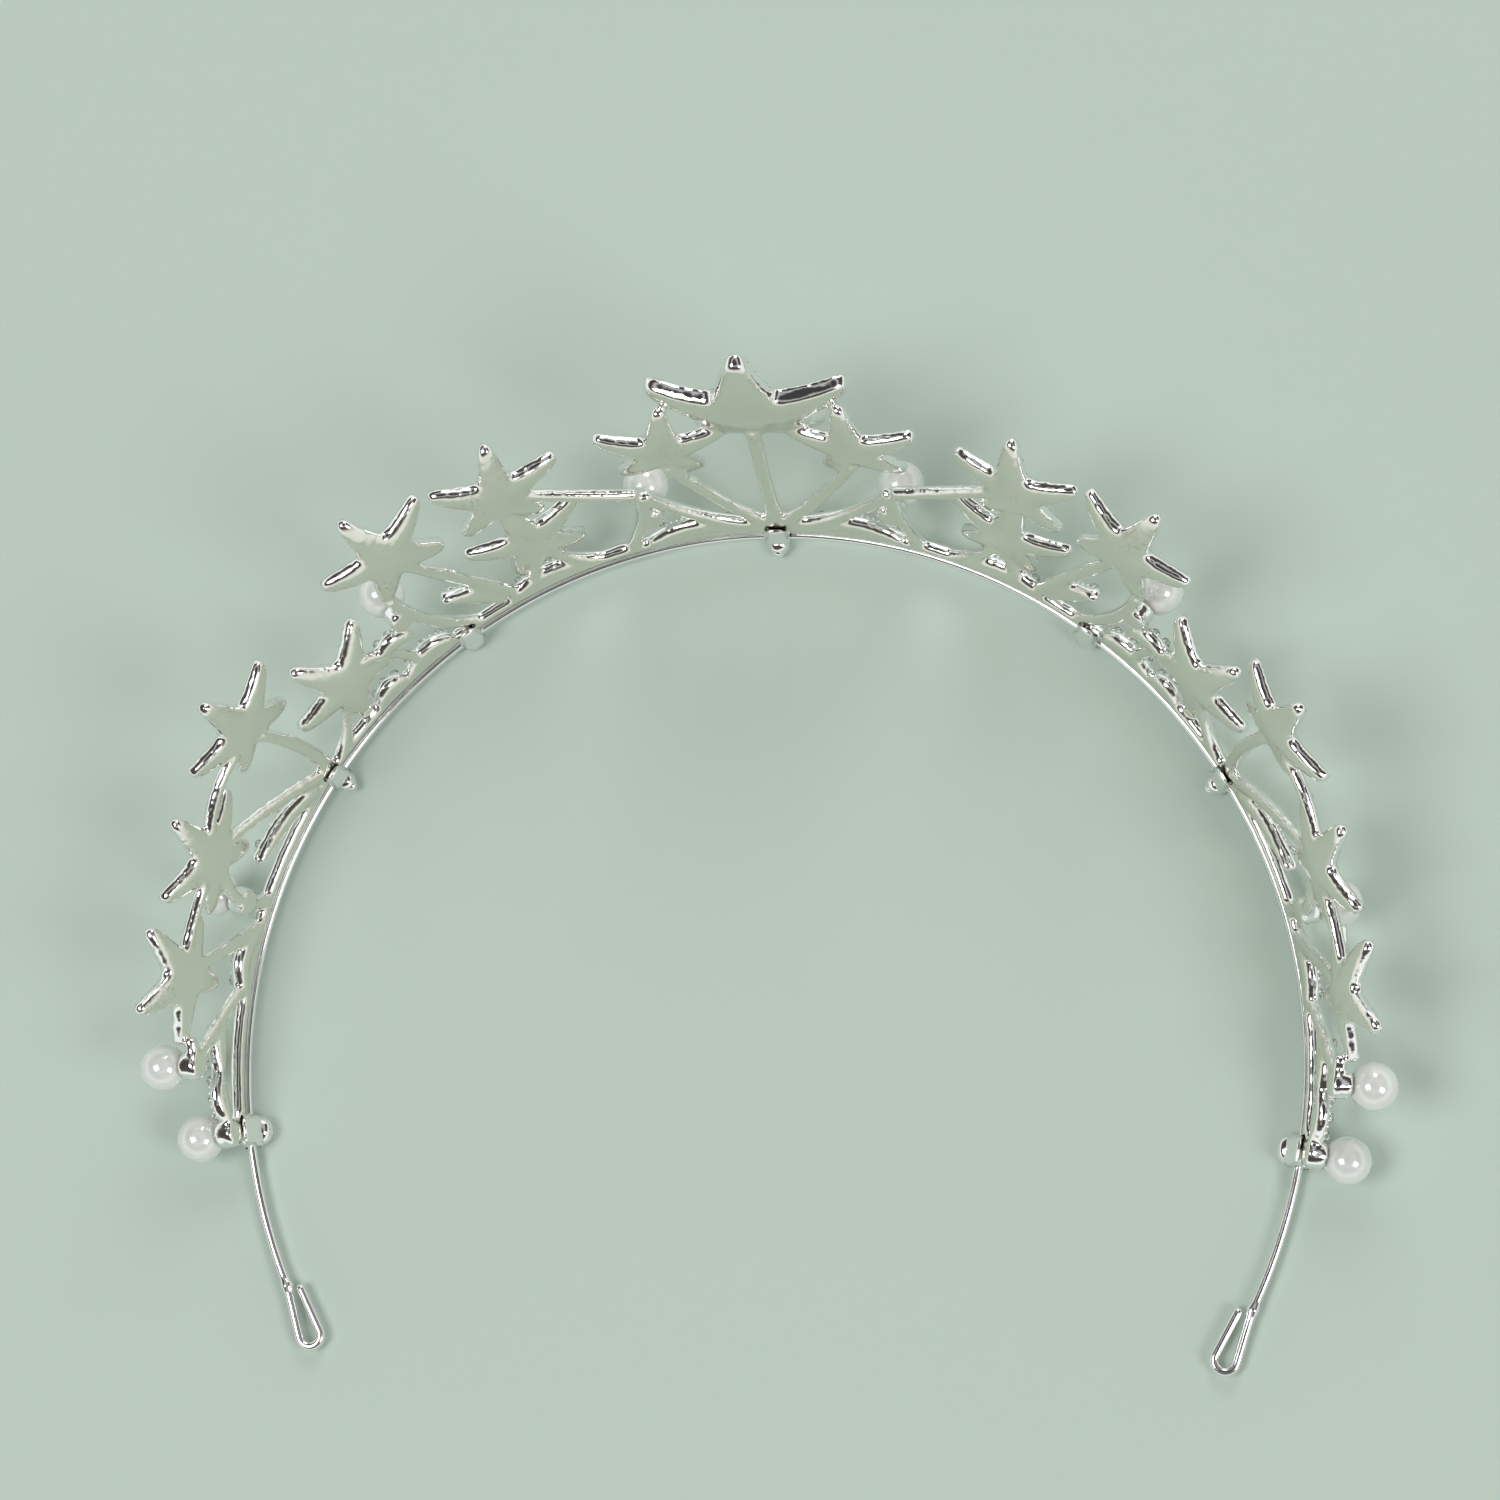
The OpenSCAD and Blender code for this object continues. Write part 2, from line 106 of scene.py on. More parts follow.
def read(items: bpy.types.bpy_prop_collection, key: str, width: int, kind: str = "f4") -> Array:
    """Reads one property of all points or faces of a mesh.

    Args:
        items: Points or faces.
        key: Name of the property.
        width: Numbers in the property.
        kind: Kind of number.

    Returns:
        One row for each item.
    """
    values = np.empty(width * len(items), kind)
    items.foreach_get(key, values)
    return values.reshape(-1, width)


def keep(data: bpy.types.Mesh, key: str, value: Array) -> None:
    """Keeps a value for each point of a mesh, for its material.

    Args:
        data: Mesh.
        key: Name of the value.
        value: Numbers, shape (n,) or (n, 3).
    """
    kind, part = ("FLOAT", "value") if value.ndim == 1 else ("FLOAT_VECTOR", "vector")
    layer = data.attributes.new(key, kind, "POINT")
    layer.data.foreach_set(part, value.astype("f4").ravel())


@dataclass
class Surface:
    """Closed mesh of quads in millimetres, with values for its points.

    Attributes:
        points: Places of the points, shape (n, 3).
        quads: Point numbers of each face, shape (m, 4).
        values: Named values for each point, shape (n,) or (n, 3).
    """

    points: Array
    quads: Array
    values: dict[str, Array] = field(default_factory=dict)

    WELD = 1e-7

    @classmethod
    def sleeve(cls, rows: Array) -> Surface:
        """Skin over closed rings, each ring joined to the next one.

        Args:
            rows: Ring points, shape (rings, points on a ring, 3). The end rings shut to a point.

        Returns:
            The skin, its faces outwards.
        """
        count, around = rows.shape[:2]
        number = np.arange(count * around).reshape(count, around)
        near, far = number[:-1], number[1:]
        quads = np.stack([near, np.roll(near, -1, 1), np.roll(far, -1, 1), far], -1).reshape(-1, 4)
        return cls(rows.reshape(-1, 3), quads).outward()

    @classmethod
    def joined(cls, parts: Iterable[Surface]) -> Surface:
        """Puts surfaces into one, without their values.

        Args:
            parts: Surfaces to put together.

        Returns:
            One surface of all their faces.
        """
        parts = list(parts)
        starts = np.cumsum([0] + [len(part.points) for part in parts[:-1]])
        quads = [part.quads + start for part, start in zip(parts, starts)]
        return cls(np.concatenate([part.points for part in parts]), np.concatenate(quads))

    def outward(self) -> Surface:
        """Turns the faces outwards: the signed volume of a closed skin is then above zero."""
        a, b, c, d = (self.points[self.quads[:, k]] for k in range(4))
        volume = np.sum(a * np.cross(b, c)) + np.sum(a * np.cross(c, d))
        if volume < 0:
            self.quads = self.quads[:, ::-1]
        return self

    def on(self, side: Side) -> Surface:
        """Keeps a surface made for the right, or mirrors it to the left.

        Args:
            side: Half of the tiara that the surface goes to.

        Returns:
            The surface on that side.
        """
        if side is Side.RIGHT:
            return self
        return Surface(self.points * [-1, 1, 1], self.quads[:, ::-1], self.values)

    def mesh(self, name: str, smooth: bool = True) -> Thing:
        """Makes a Blender object in metres, with its doubled points merged.

        Args:
            name: Name of the object.
            smooth: Whether the faces are shaded smooth.

        Returns:
            The new object, linked to the scene.
        """
        data = bpy.data.meshes.new(name)
        data.from_pydata(self.points * MM, [], self.quads.tolist())
        for key, value in self.values.items():
            keep(data, key, value)
        work = bmesh.new()
        work.from_mesh(data)
        bmesh.ops.remove_doubles(work, verts=work.verts, dist=self.WELD)
        work.to_mesh(data)
        work.free()
        data.polygons.foreach_set("use_smooth", np.full(len(data.polygons), smooth))
        thing = bpy.data.objects.new(name, data)
        bpy.context.scene.collection.objects.link(thing)
        return thing


@dataclass(frozen=True)
class Outline:
    """Smooth closed outline of a flat piece, as complex numbers: sideways plus i times upwards.

    Attributes:
        points: Points of the outline, evenly spaced, anticlockwise.
    """

    points: Array

    @classmethod
    def rounded(cls, corners: Array, soften: float, count: int) -> Outline:
        """Rounds a polygon: its even samples are blurred by a Gaussian that is `soften` long.

        Args:
            corners: Corners of the polygon as complex numbers.
            soften: Length of the blur in millimetres.
            count: Points of the outline.

        Returns:
            The rounded outline, anticlockwise.
        """
        loop = np.append(corners, corners[0])
        reach = np.concatenate([[0], np.cumsum(np.abs(np.diff(loop)))])
        at = np.linspace(0, reach[-1], count, endpoint=False)
        even = np.interp(at, reach, loop.real) + 1j * np.interp(at, reach, loop.imag)
        waves = 2 * np.pi * np.fft.fftfreq(count, reach[-1] / count)
        even = np.fft.ifft(np.fft.fft(even) * np.exp(-0.5 * (waves * soften) ** 2))
        area = np.sum(np.imag(np.conj(even) * np.roll(even, -1)))
        return cls(even if area > 0 else even[::-1])

    @cached_property
    def normals(self) -> Array:
        """Outward unit normals: the central difference along the outline, turned a quarter right."""
        along = np.roll(self.points, -1) - np.roll(self.points, 1)
        return -1j * along / np.abs(along)

    def puck(self, rows: Array) -> Array:
        """Rings of a flat piece: shrink * (outline - inset * normal), at each row's depth.

        Args:
            rows: One row for each ring: inset, shrink and depth.

        Returns:
            Ring points (rows, points, 3) with sideways, depth and upwards as their axes.
        """
        inset, shrink, depth = (np.asarray(rows, float)[:, k, None] for k in range(3))
        flat = shrink * (self.points - inset * self.normals)
        return np.stack([flat.real, np.broadcast_to(depth, flat.shape), flat.imag], -1)


def rounding(radius: float, start: float, turn: int, steps: int = 4) -> list[Row]:
    """Puck rows of a quarter round at the edge of a flat piece.

    Args:
        radius: Radius of the rounding.
        start: Depth of the flat face.
        turn: 1 from the back face to the wall, -1 from the wall to the front face.
        steps: Stretches of the quarter round.

    Returns:
        Rows of inset, shrink and depth.
    """
    angle = np.linspace(0, np.pi / 2, steps + 1)
    inset = radius * (1 - np.sin(angle))
    depth = start + turn * radius * (1 - np.cos(angle))
    rows = list(zip(inset, np.ones_like(inset), depth))
    return rows if turn > 0 else rows[::-1]


def ball(centre: Array, radius: float, around: int = 6, rings: int = 4) -> Surface:
    """Small ball: radius * (sin p cos a, sin p sin a, cos p) about its centre.

    Args:
        centre: Middle of the ball.
        radius: Radius of the ball.
        around: Points on a ring.
        rings: Stretches from pole to pole.

    Returns:
        The ball.
    """
    polar = np.linspace(0, np.pi, rings + 1)[:, None]
    turn = np.linspace(0, 2 * np.pi, around, endpoint=False)[None, :]
    level = np.sin(polar)
    axes = np.broadcast_arrays(level * np.cos(turn), level * np.sin(turn), np.cos(polar))
    return Surface.sleeve(centre + radius * np.stack(axes, -1))


# The arch and the wall of castings that stands on it


@dataclass(frozen=True)
class Arch:
    """Ring of the headband wire and the flared wall above it.

    Attributes:
        radius: Radius of the arch to the middle of the wire.
        flare: Lean of the wall outwards from upright, in degrees.
        wire_d: Diameter of the wire.
        half: Angle from the front to an end clip, in degrees.
    """

    radius: float = 68
    flare: float = 16
    wire_d: float = 1.2
    half: float = 99

    @cached_property
    def centre(self) -> Array:
        """Middle of the arch, worked out from the wire's CAD solid."""
        low, high = (np.array(corner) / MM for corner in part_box("headband_wire"))
        return np.array([0, high[1] - self.wire_d / 2 - self.radius, (low[2] + high[2]) / 2])

    def axes(self, angle: Array, lean: float = 0) -> tuple[Array, Array, Array]:
        """Unit vectors along the arch, out of the wall and up the wall.

        Args:
            angle: Angle along the arch in degrees.
            lean: Lean back from the wall in degrees.

        Returns:
            Vectors along, out and up, each of shape (..., 3).
        """
        turn, tilt = np.radians(angle), np.radians(self.flare - lean)
        zero = np.zeros_like(turn)
        level = np.stack([np.sin(turn), np.cos(turn), zero], -1)
        upright = np.array([0, 0, 1])
        along = np.stack([np.cos(turn), -np.sin(turn), zero], -1)
        out = level * np.cos(tilt) - upright * np.sin(tilt)
        return along, out, level * np.sin(tilt) + upright * np.cos(tilt)

    def wall(self, angle: Array, up: Array, out: Array = 0.0) -> Array:
        """Points of the wall: the wire's middle, plus `up` up the wall and `out` out of it.

        Args:
            angle: Angles along the arch in degrees.
            up: Heights up the wall.
            out: Distances out of the wall's middle surface.

        Returns:
            Points of shape (..., 3).
        """
        angle, up, out = np.broadcast_arrays(*(np.asarray(v, float) for v in (angle, up, out)))
        _, outwards, upwards = self.axes(angle)
        turn = np.radians(angle)
        ring = self.radius * np.stack([np.sin(turn), np.cos(turn), np.zeros_like(turn)], -1)
        return self.centre + ring + up[..., None] * upwards + out[..., None] * outwards

    @property
    def degree(self) -> float:
        """Length of one degree along the arch."""
        return self.radius * np.pi / 180


ARCH = Arch()
BEAD, BEAD_PITCH = 0.27, 2.4


@dataclass(frozen=True)
class Star:
    """Five-point star of a casting.

    Attributes:
        name: Word for the star in node names.
        angle: Angle along the arch in degrees.
        up: Height of its middle up the wall.
        spin: Turn of the star in its own plane, in degrees.
        lean: Lean back from the wall, in degrees.
        radius: Radius to its points.
        thick: Thickness of the star.
        edge: Rounding of its back edge.
        stone: Diameter of its middle crystal.
        waist: Inner corners as a share of the radius.
        tip: Rounding radius of its points.
    """

    name: str
    angle: float
    up: float
    spin: float
    lean: float
    radius: float = 8.8
    thick: float = 1.8
    edge: float = 0.45
    stone: float = 3.0
    waist: float = 0.38
    tip: float = 0.9

    ARMS = 5
    BLUNT = (-72, -36, 0, 36, 72)
    PILLOW = 0.3
    THIN = 0.3
    RIM = 0.65
    FRONT = 0.3
    LIP = 0.1
    DRAFT = 0.05
    POCKET = 0.7
    DISH_R = 32.0
    GLUE = 0.1
    SOFTEN = 0.6
    COUNT = 240
    RINGS = np.linspace(0, 0.95, 8)
    ARM_STONE = 1.4
    ARM_INSET = 0.7
    NUDGE = 1e-3

    def corners(self, radius: float) -> Array:
        """Polygon of the star: for each arm the blunt tip and the inner corner after it.

        Args:
            radius: Radius to the points.

        Returns:
            Corners as complex numbers, the first arm upwards.
        """
        half = np.pi / self.ARMS
        tip = radius - self.tip + self.tip * np.exp(1j * np.radians(self.BLUNT))
        arm = np.append(tip, radius * self.waist * np.exp(1j * half))
        turns = np.exp(1j * (np.pi / 2 + 2 * half * np.arange(self.ARMS)))
        return (turns[:, None] * arm).ravel()

    @cached_property
    def outline(self) -> Outline:
        """Rounded outline of the star, scaled so that its points keep their radius."""
        soft = Outline.rounded(self.corners(self.radius), self.SOFTEN, self.COUNT)
        return Outline(soft.points * self.radius / np.abs(soft.points).max())

    def place(self, local: Array) -> Array:
        """Puts points of the star on the tiara, bent to its bowl: outwards + distance^2 / (2 * DISH_R).

        Args:
            local: Points with sideways, outwards and upwards as their axes.

        Returns:
            Places on the right half of the tiara.
        """
        bowl = np.sum(local[..., [0, 2]] ** 2, -1) / (2 * self.DISH_R)
        local = local + bowl[..., None] * [0, 1, 0]
        along, out, up = ARCH.axes(np.array(self.angle), self.lean)
        turn = np.radians(self.spin)
        side = along * np.cos(turn) + up * np.sin(turn)
        top = up * np.cos(turn) - along * np.sin(turn)
        return ARCH.wall(self.angle, self.up) + local @ np.stack([side, out, top])

    def body(self) -> Surface:
        """Cast star: a pillowed back with a rounded edge, a wall, a rim in front and its pocket.

        Towards the points the back thins: depth * (1 - THIN * (distance / radius)^6).
        """
        half, inner = self.thick / 2, self.RIM + self.DRAFT
        floor = half - self.POCKET
        back = [(self.edge, share, self.PILLOW * share**2 - half) for share in self.RINGS]
        wall = rounding(self.edge, self.PILLOW - half, 1) + rounding(self.FRONT, half, -1)
        front = [(self.RIM - self.LIP, 1, half), (self.RIM, 1, half - self.LIP), (inner, 1, floor)]
        pocket = [(inner, share, floor) for share in (0.8, 0.5, 0)]
        local = self.outline.puck(np.array(back + wall + front + pocket))
        reach = np.hypot(local[..., 0], local[..., 2]) / self.radius
        local[..., 1] *= np.where(local[..., 1] < 0, 1 - self.THIN * reach**6, 1)
        return Surface.sleeve(self.place(local))

    def stones(self) -> list[tuple[Array, Array, float]]:
        """Seats of the crystals.

        Returns:
            For each crystal its place, the axes of its plane and its diameter.
        """
        floor = self.thick / 2 - self.POCKET + self.GLUE
        reach = self.radius * (1 + self.waist) / 2 - self.ARM_INSET * self.RIM
        turns = 2 * np.pi / self.ARMS * np.arange(self.ARMS)
        lift = (self.stone / 2) ** 2 / (2 * self.DISH_R)
        seats = [(0.0, floor + lift, 0.0, self.stone)]
        seats += [(np.sin(a) * reach, floor, np.cos(a) * reach, self.ARM_STONE) for a in turns]
        return [(self.place(np.array([x, y, z])), self.seat_axes(x, z), d) for x, y, z, d in seats]

    def seat_axes(self, x: float, z: float) -> Array:
        """Axes of a crystal square to the bowl, from its slopes sideways and upwards.

        Args:
            x: Place sideways.
            z: Place upwards.

        Returns:
            Sideways, outward and upward axes as rows.
        """
        spot = np.array([x, 0, z])
        here = self.place(spot)
        side, top = (self.place(spot + self.NUDGE * step) - here for step in np.eye(3)[[0, 2]])
        side, top = side / np.linalg.norm(side), top / np.linalg.norm(top)
        out = np.cross(top, side)
        out /= np.linalg.norm(out)
        return np.stack([side, out, np.cross(side, out)])

    def beads(self) -> list[Surface]:
        """Milled beads along the front rim, a little more than a bead's width apart."""
        ring = self.outline.points - BEAD * self.outline.normals
        length = np.abs(np.diff(np.append(ring, ring[0]))).sum()
        count = int(length / (BEAD_PITCH * BEAD))
        pick = ring[np.arange(count) * self.COUNT // count]
        depth = self.thick / 2 - BEAD
        local = np.stack([pick.real, np.full(count, depth), pick.imag], -1)
        return [ball(centre, BEAD) for centre in self.place(local)]


@dataclass(frozen=True)
class Stem:
    """Strip of a casting along a quadratic bend on the wall.

    Attributes:
        start: Angle and height where it starts.
        bend: Control point of the bend.
        end: Angle and height where it ends.
        widths: Widths at its start, middle and end.
        thick: Thickness.
        flare: Widening towards its ends, as a share, where it flows into its neighbours.
    """

    start: tuple[float, float]
    bend: tuple[float, float]
    end: tuple[float, float]
    widths: tuple[float, float, float]
    thick: float = 1.55
    flare: float = 0.3

    STEPS = 36
    AROUND = 20
    SQUARE = 2.0
    FILLET = 0.8
    CAP = 0.35

    def middle(self, u: Array) -> tuple[Array, Array, Array]:
        """Middle line of the strip: the quadratic bend, and its unit sideways vector on the wall.

        Args:
            u: Shares of the way from start to end.

        Returns:
            Angles and heights, sideways vectors in the same units, and lengths from the start.
        """
        a, b, c = (np.array(p, float) for p in (self.start, self.bend, self.end))
        u = u[:, None]
        line = (1 - u) ** 2 * a + 2 * u * (1 - u) * b + u**2 * c
        slope = 2 * (1 - u) * (b - a) + 2 * u * (c - b)
        run = slope * [ARCH.degree, 1]
        run /= np.linalg.norm(run, axis=1, keepdims=True)
        sideways = np.stack([-run[:, 1] / ARCH.degree, run[:, 0]], -1)
        steps = np.linalg.norm(np.diff(line, axis=0) * [ARCH.degree, 1], axis=1)
        return line, sideways, np.concatenate([[0], np.cumsum(steps)])

    def width(self, u: Array, reach: Array) -> Array:
        """Width of the strip: a half sine between its three widths, widened exponentially near its ends.

        Args:
            u: Shares of the way from start to end.
            reach: Lengths from the start.

        Returns:
            Widths.
        """
        ends = np.where(u < 0.5, self.widths[0], self.widths[2])
        plain = ends + (self.widths[1] - ends) * np.sin(np.pi * u)
        near = np.minimum(reach, reach[-1] - reach)
        return plain * (1 + self.flare * np.exp(-near / self.FILLET))

    def body(self) -> Surface:
        """Strip with a superellipse for its section, closed by rounded ends."""
        u = np.linspace(0, 1, self.STEPS)
        line, sideways, reach = self.middle(u)
        cap = np.sqrt(np.clip(np.minimum(reach, reach[-1] - reach) / self.CAP, 0, 1))
        turn = np.linspace(0, 2 * np.pi, self.AROUND, endpoint=False)
        across = np.sign(np.cos(turn)) * np.abs(np.cos(turn)) ** (2 / self.SQUARE)
        out = np.sign(np.sin(turn)) * np.abs(np.sin(turn)) ** (2 / self.SQUARE)
        half = cap * self.width(u, reach) / 2
        at = line[:, None, :] + (half[:, None] * across)[..., None] * sideways[:, None, :]
        return Surface.sleeve(ARCH.wall(at[..., 0], at[..., 1], cap[:, None] * out * self.thick / 2))


@dataclass(frozen=True)
class Leaf(Stem):
    """Slim leaf of a casting, with beads along both front edges."""

    widths: tuple[float, float, float] = (0.9, 2.8, 0.9)
    thick: float = 1.94
    flare: float = 0.0

    STONE = 1.3
    STONES = (1 / 6, 1 / 2, 5 / 6)
    INSET = 1.5
    BEADED = np.linspace(0.06, 0.94, 200)

    def beads(self) -> list[Surface]:
        """Milled beads along the two front edges, a little more than a bead's width apart."""
        u = self.BEADED
        line, sideways, reach = self.middle(u)
        half = self.width(u, reach) / 2 - self.INSET * BEAD
        count = int(reach[-1] / (BEAD_PITCH * BEAD))
        pick = np.searchsorted(reach, np.linspace(0, reach[-1], count)).clip(0, len(u) - 1)
        edges = [line + sign * half[:, None] * sideways for sign in (-1, 1)]
        rows = np.concatenate([edge[pick] for edge in edges])
        depth = self.thick / 2 - BEAD
        return [ball(centre, BEAD) for centre in ARCH.wall(rows[:, 0], rows[:, 1], depth)]

    def stones(self) -> list[tuple[Array, Array, float]]:
        """Seats of the crystals: the place, the axes of the plane and the diameter of each."""
        line = self.middle(np.array(self.STONES))[0]
        return [
            (ARCH.wall(angle, up, self.thick / 2), np.stack(ARCH.axes(np.array(angle))), self.STONE)
            for angle, up in line
        ]


@dataclass(frozen=True)
class PearlSeat:
    """Pearl on a cup in front of a casting.

    Attributes:
        name: Word for the pearl in node names.
        angle: Angle along the arch in degrees.
        up: Height up the wall.
    """

    name: str
    angle: float
    up: float

    PEARL_D = 6.0
    CUP_D = 3.4
    CUP_H = 0.7
    CAST_T = 1.8
    SOFT = 0.4
    LIP = 0.15
    DISH_EDGE, DISH = 0.25, 0.3
    CUP_AROUND = 32
    SWELL = 0.004
    RINGS, AROUND = 40, 64

    def axes(self) -> Array:
        """Axes of the seat as rows: along, out and up."""
        return np.stack(ARCH.axes(np.array(self.angle)))

    def cup(self) -> Surface:
        """Cast cup: a round puck with a soft back and a dished front that the pearl sits in."""
        turns = np.arange(self.CUP_AROUND)
        ring = Outline(self.CUP_D / 2 * np.exp(2j * np.pi * turns / self.CUP_AROUND))
        back, front = -self.CAST_T / 2, self.CAST_T / 2 + self.CUP_H
        rows = [(self.SOFT, share, back) for share in (0, 0.6)]
        rows += rounding(self.SOFT, back, 1) + rounding(self.LIP, front, -1)
        rows += [(self.LIP, 0.6, front - self.DISH_EDGE), (self.LIP, 0, front - self.DISH)]
        local = ring.puck(np.array(rows)) @ self.axes()
        return Surface.sleeve(ARCH.wall(self.angle, self.up) + local)

    def pearl(self) -> Surface:
        """Pearl: a sphere whose radius swells a little with slow waves, as grown nacre does."""
        polar = np.linspace(0, np.pi, self.RINGS + 1)[:, None]
        turn = np.linspace(0, 2 * np.pi, self.AROUND, endpoint=False)[None, :]
        seed = self.angle + self.up
        swell = 1 - self.SWELL * (1 + np.sin(2 * polar + seed) * np.cos(2 * turn + 3 * seed))
        radius = self.PEARL_D / 2 * swell
        level = radius * np.sin(polar)
        local = np.stack([level * np.cos(turn), radius * np.cos(polar), level * np.sin(turn)], -1)
        out = self.CAST_T / 2 + self.CUP_H + self.PEARL_D / 2
        return Surface.sleeve(ARCH.wall(self.angle, self.up, out) + local @ self.axes())


# The layout of the stars, pearls, stems and leaves, as in the part's source

STEM, FINE, BOLD = 1.7, 1.36, 2.21
RAIL = 2.37
UPPER_CLIP, MID_CLIP = 36.5, 58.0
RAIL_GAP = 0.2
FOLD = 0.75

STAR_CENTRE = Star("centre", 0, 30.2, 0, 14.3, 13.1, thick=2.5, edge=0.7, stone=4.6, waist=0.48, tip=1.4)
CENTRE_STARS = (
    Star("crown", 9.2, 23.4, 9, 5),
    Star("top", 25.4, 25, 11, -3),
    Star("middle", 25, 12.5, -8, 2),
    Star("outer", 37.5, 26.3, -11, -7),
)
SIDE_STARS = (
    Star("temple", 49.2, 11.6, -25, -5),
    Star("side", 58.9, 23.6, -3, 4),
    Star("low", 71.5, 17.2, 15, 0),
    Star("end", 83.8, 16.2, -38, -1),
)
CENTRE_PEARLS = (PearlSeat("crown", 12.8, 8.6), PearlSeat("temple", 40.7, 13.6))
SIDE_PEARLS = (PearlSeat("side", 74.6, 7), PearlSeat("tip", 92.4, 12.3), PearlSeat("end", 99.2, 4.6))

HUB = (0, RAIL + 0.4)
CENTRE_SPOKE = Stem(HUB, (0, 12), (0, 27.5), (BOLD, STEM, STEM))
CENTRE_STEMS = (
    Stem(HUB, (5, 8), (9.4, 20.6), (BOLD, STEM, FINE)),
    Stem(HUB, (8, 4), (13, 14.5), (BOLD, STEM, STEM)),
    Stem((13, 14.5), (18, 17), (23.5, 23.3), (STEM, STEM, FINE), flare=0.2),
    Stem((13, 14.5), (13.2, 8), (16, RAIL), (FINE, FINE, STEM)),
    Stem((25.8, 22.3), (25.9, 21.5), (26, 20.6), (FINE, FINE, FINE)),
    Stem((24.4, 9.6), (23, 4.6), (19.5, RAIL), (FINE, FINE, STEM)),
    Stem((25, 9.5), (26.5, 5), (29, RAIL), (FINE, FINE, STEM)),
    Stem((37, 23.3), (34.5, 16), (29.2, RAIL), (FINE, STEM, STEM)),
    Stem((40.2, 19), (39.8, 8), (UPPER_CLIP - 1.9, RAIL), (FINE, STEM, STEM)),
    Stem((39.6, 14.4), (40, 14), (40.7, 13.6), (FINE, FINE, FINE)),
    Stem((13.1, 12), (13, 11), (12.8, 8.6), (FINE, FINE, FINE)),
)
CENTRE_LEAVES = (
    Leaf((3.3, RAIL + 0.7), (8.2, 5.7), (14, RAIL + 0.4)),
    Leaf((36.3, 11.4), (33, 8.4), (31, 3.6)),
    Leaf((30.5, RAIL + 0.4), (25, 5.6), (20.5, RAIL)),
)
SIDE_STEMS = (
    Stem((50.8, 9.3), (53, 4), (MID_CLIP - 2, RAIL), (FINE, STEM, STEM)),
    Stem((MID_CLIP, RAIL), (56.5, 9), (58.8, 20.8), (BOLD, STEM, FINE)),
    Stem((MID_CLIP, RAIL), (64.3, 10.2), (69.6, 15.4), (BOLD, STEM, FINE)),
    Stem((61.2, 22.4), (66, 23), (69.8, 19.3), (FINE, FINE, FINE)),
    Stem((74, 16.9), (78, 17.2), (81.6, 17), (FINE, FINE, FINE)),
    Stem((72.2, 14.4), (76.5, 8.5), (73.5, RAIL), (FINE, FINE, STEM)),
    Stem((82.4, 14), (79.5, 6.5), (76.5, RAIL), (FINE, STEM, STEM)),
    Stem((92, 12.4), (87.4, 6.8), (82.5, RAIL), (FINE, STEM, STEM)),
    Stem((89.6, 13.5), (91, 13), (92.4, 12.3), (FINE, FINE, FINE)),
    Stem((97, RAIL), (98.2, 3.2), (99.2, 4.6), (STEM, FINE, FINE)),
    Stem((47.2, 12.8), (43.2, 10.8), (42, RAIL), (FINE, FINE, STEM)),
)
SIDE_LEAVES = (
    Leaf((45, 10.8), (43, 11.8), (40.8, 9.7)),
    Leaf((38, RAIL + 0.6), (41, 5.6), (44.5, RAIL + 0.3)),
    Leaf((44.8, RAIL + 0.3), (46.8, 5), (49, RAIL + 0.2)),
    Leaf((60.2, RAIL + 0.6), (64, 5.7), (70.5, 7.5)),
    Leaf((77.5, RAIL + 0.3), (80.5, 5.6), (84, RAIL + 0.4)),
    Leaf((87.2, 7), (90, 7.5), (93, 6.9)),
    Leaf((92.7, 6.9), (95.5, 7.3), (98.2, 5.4)),
)


# Finishes


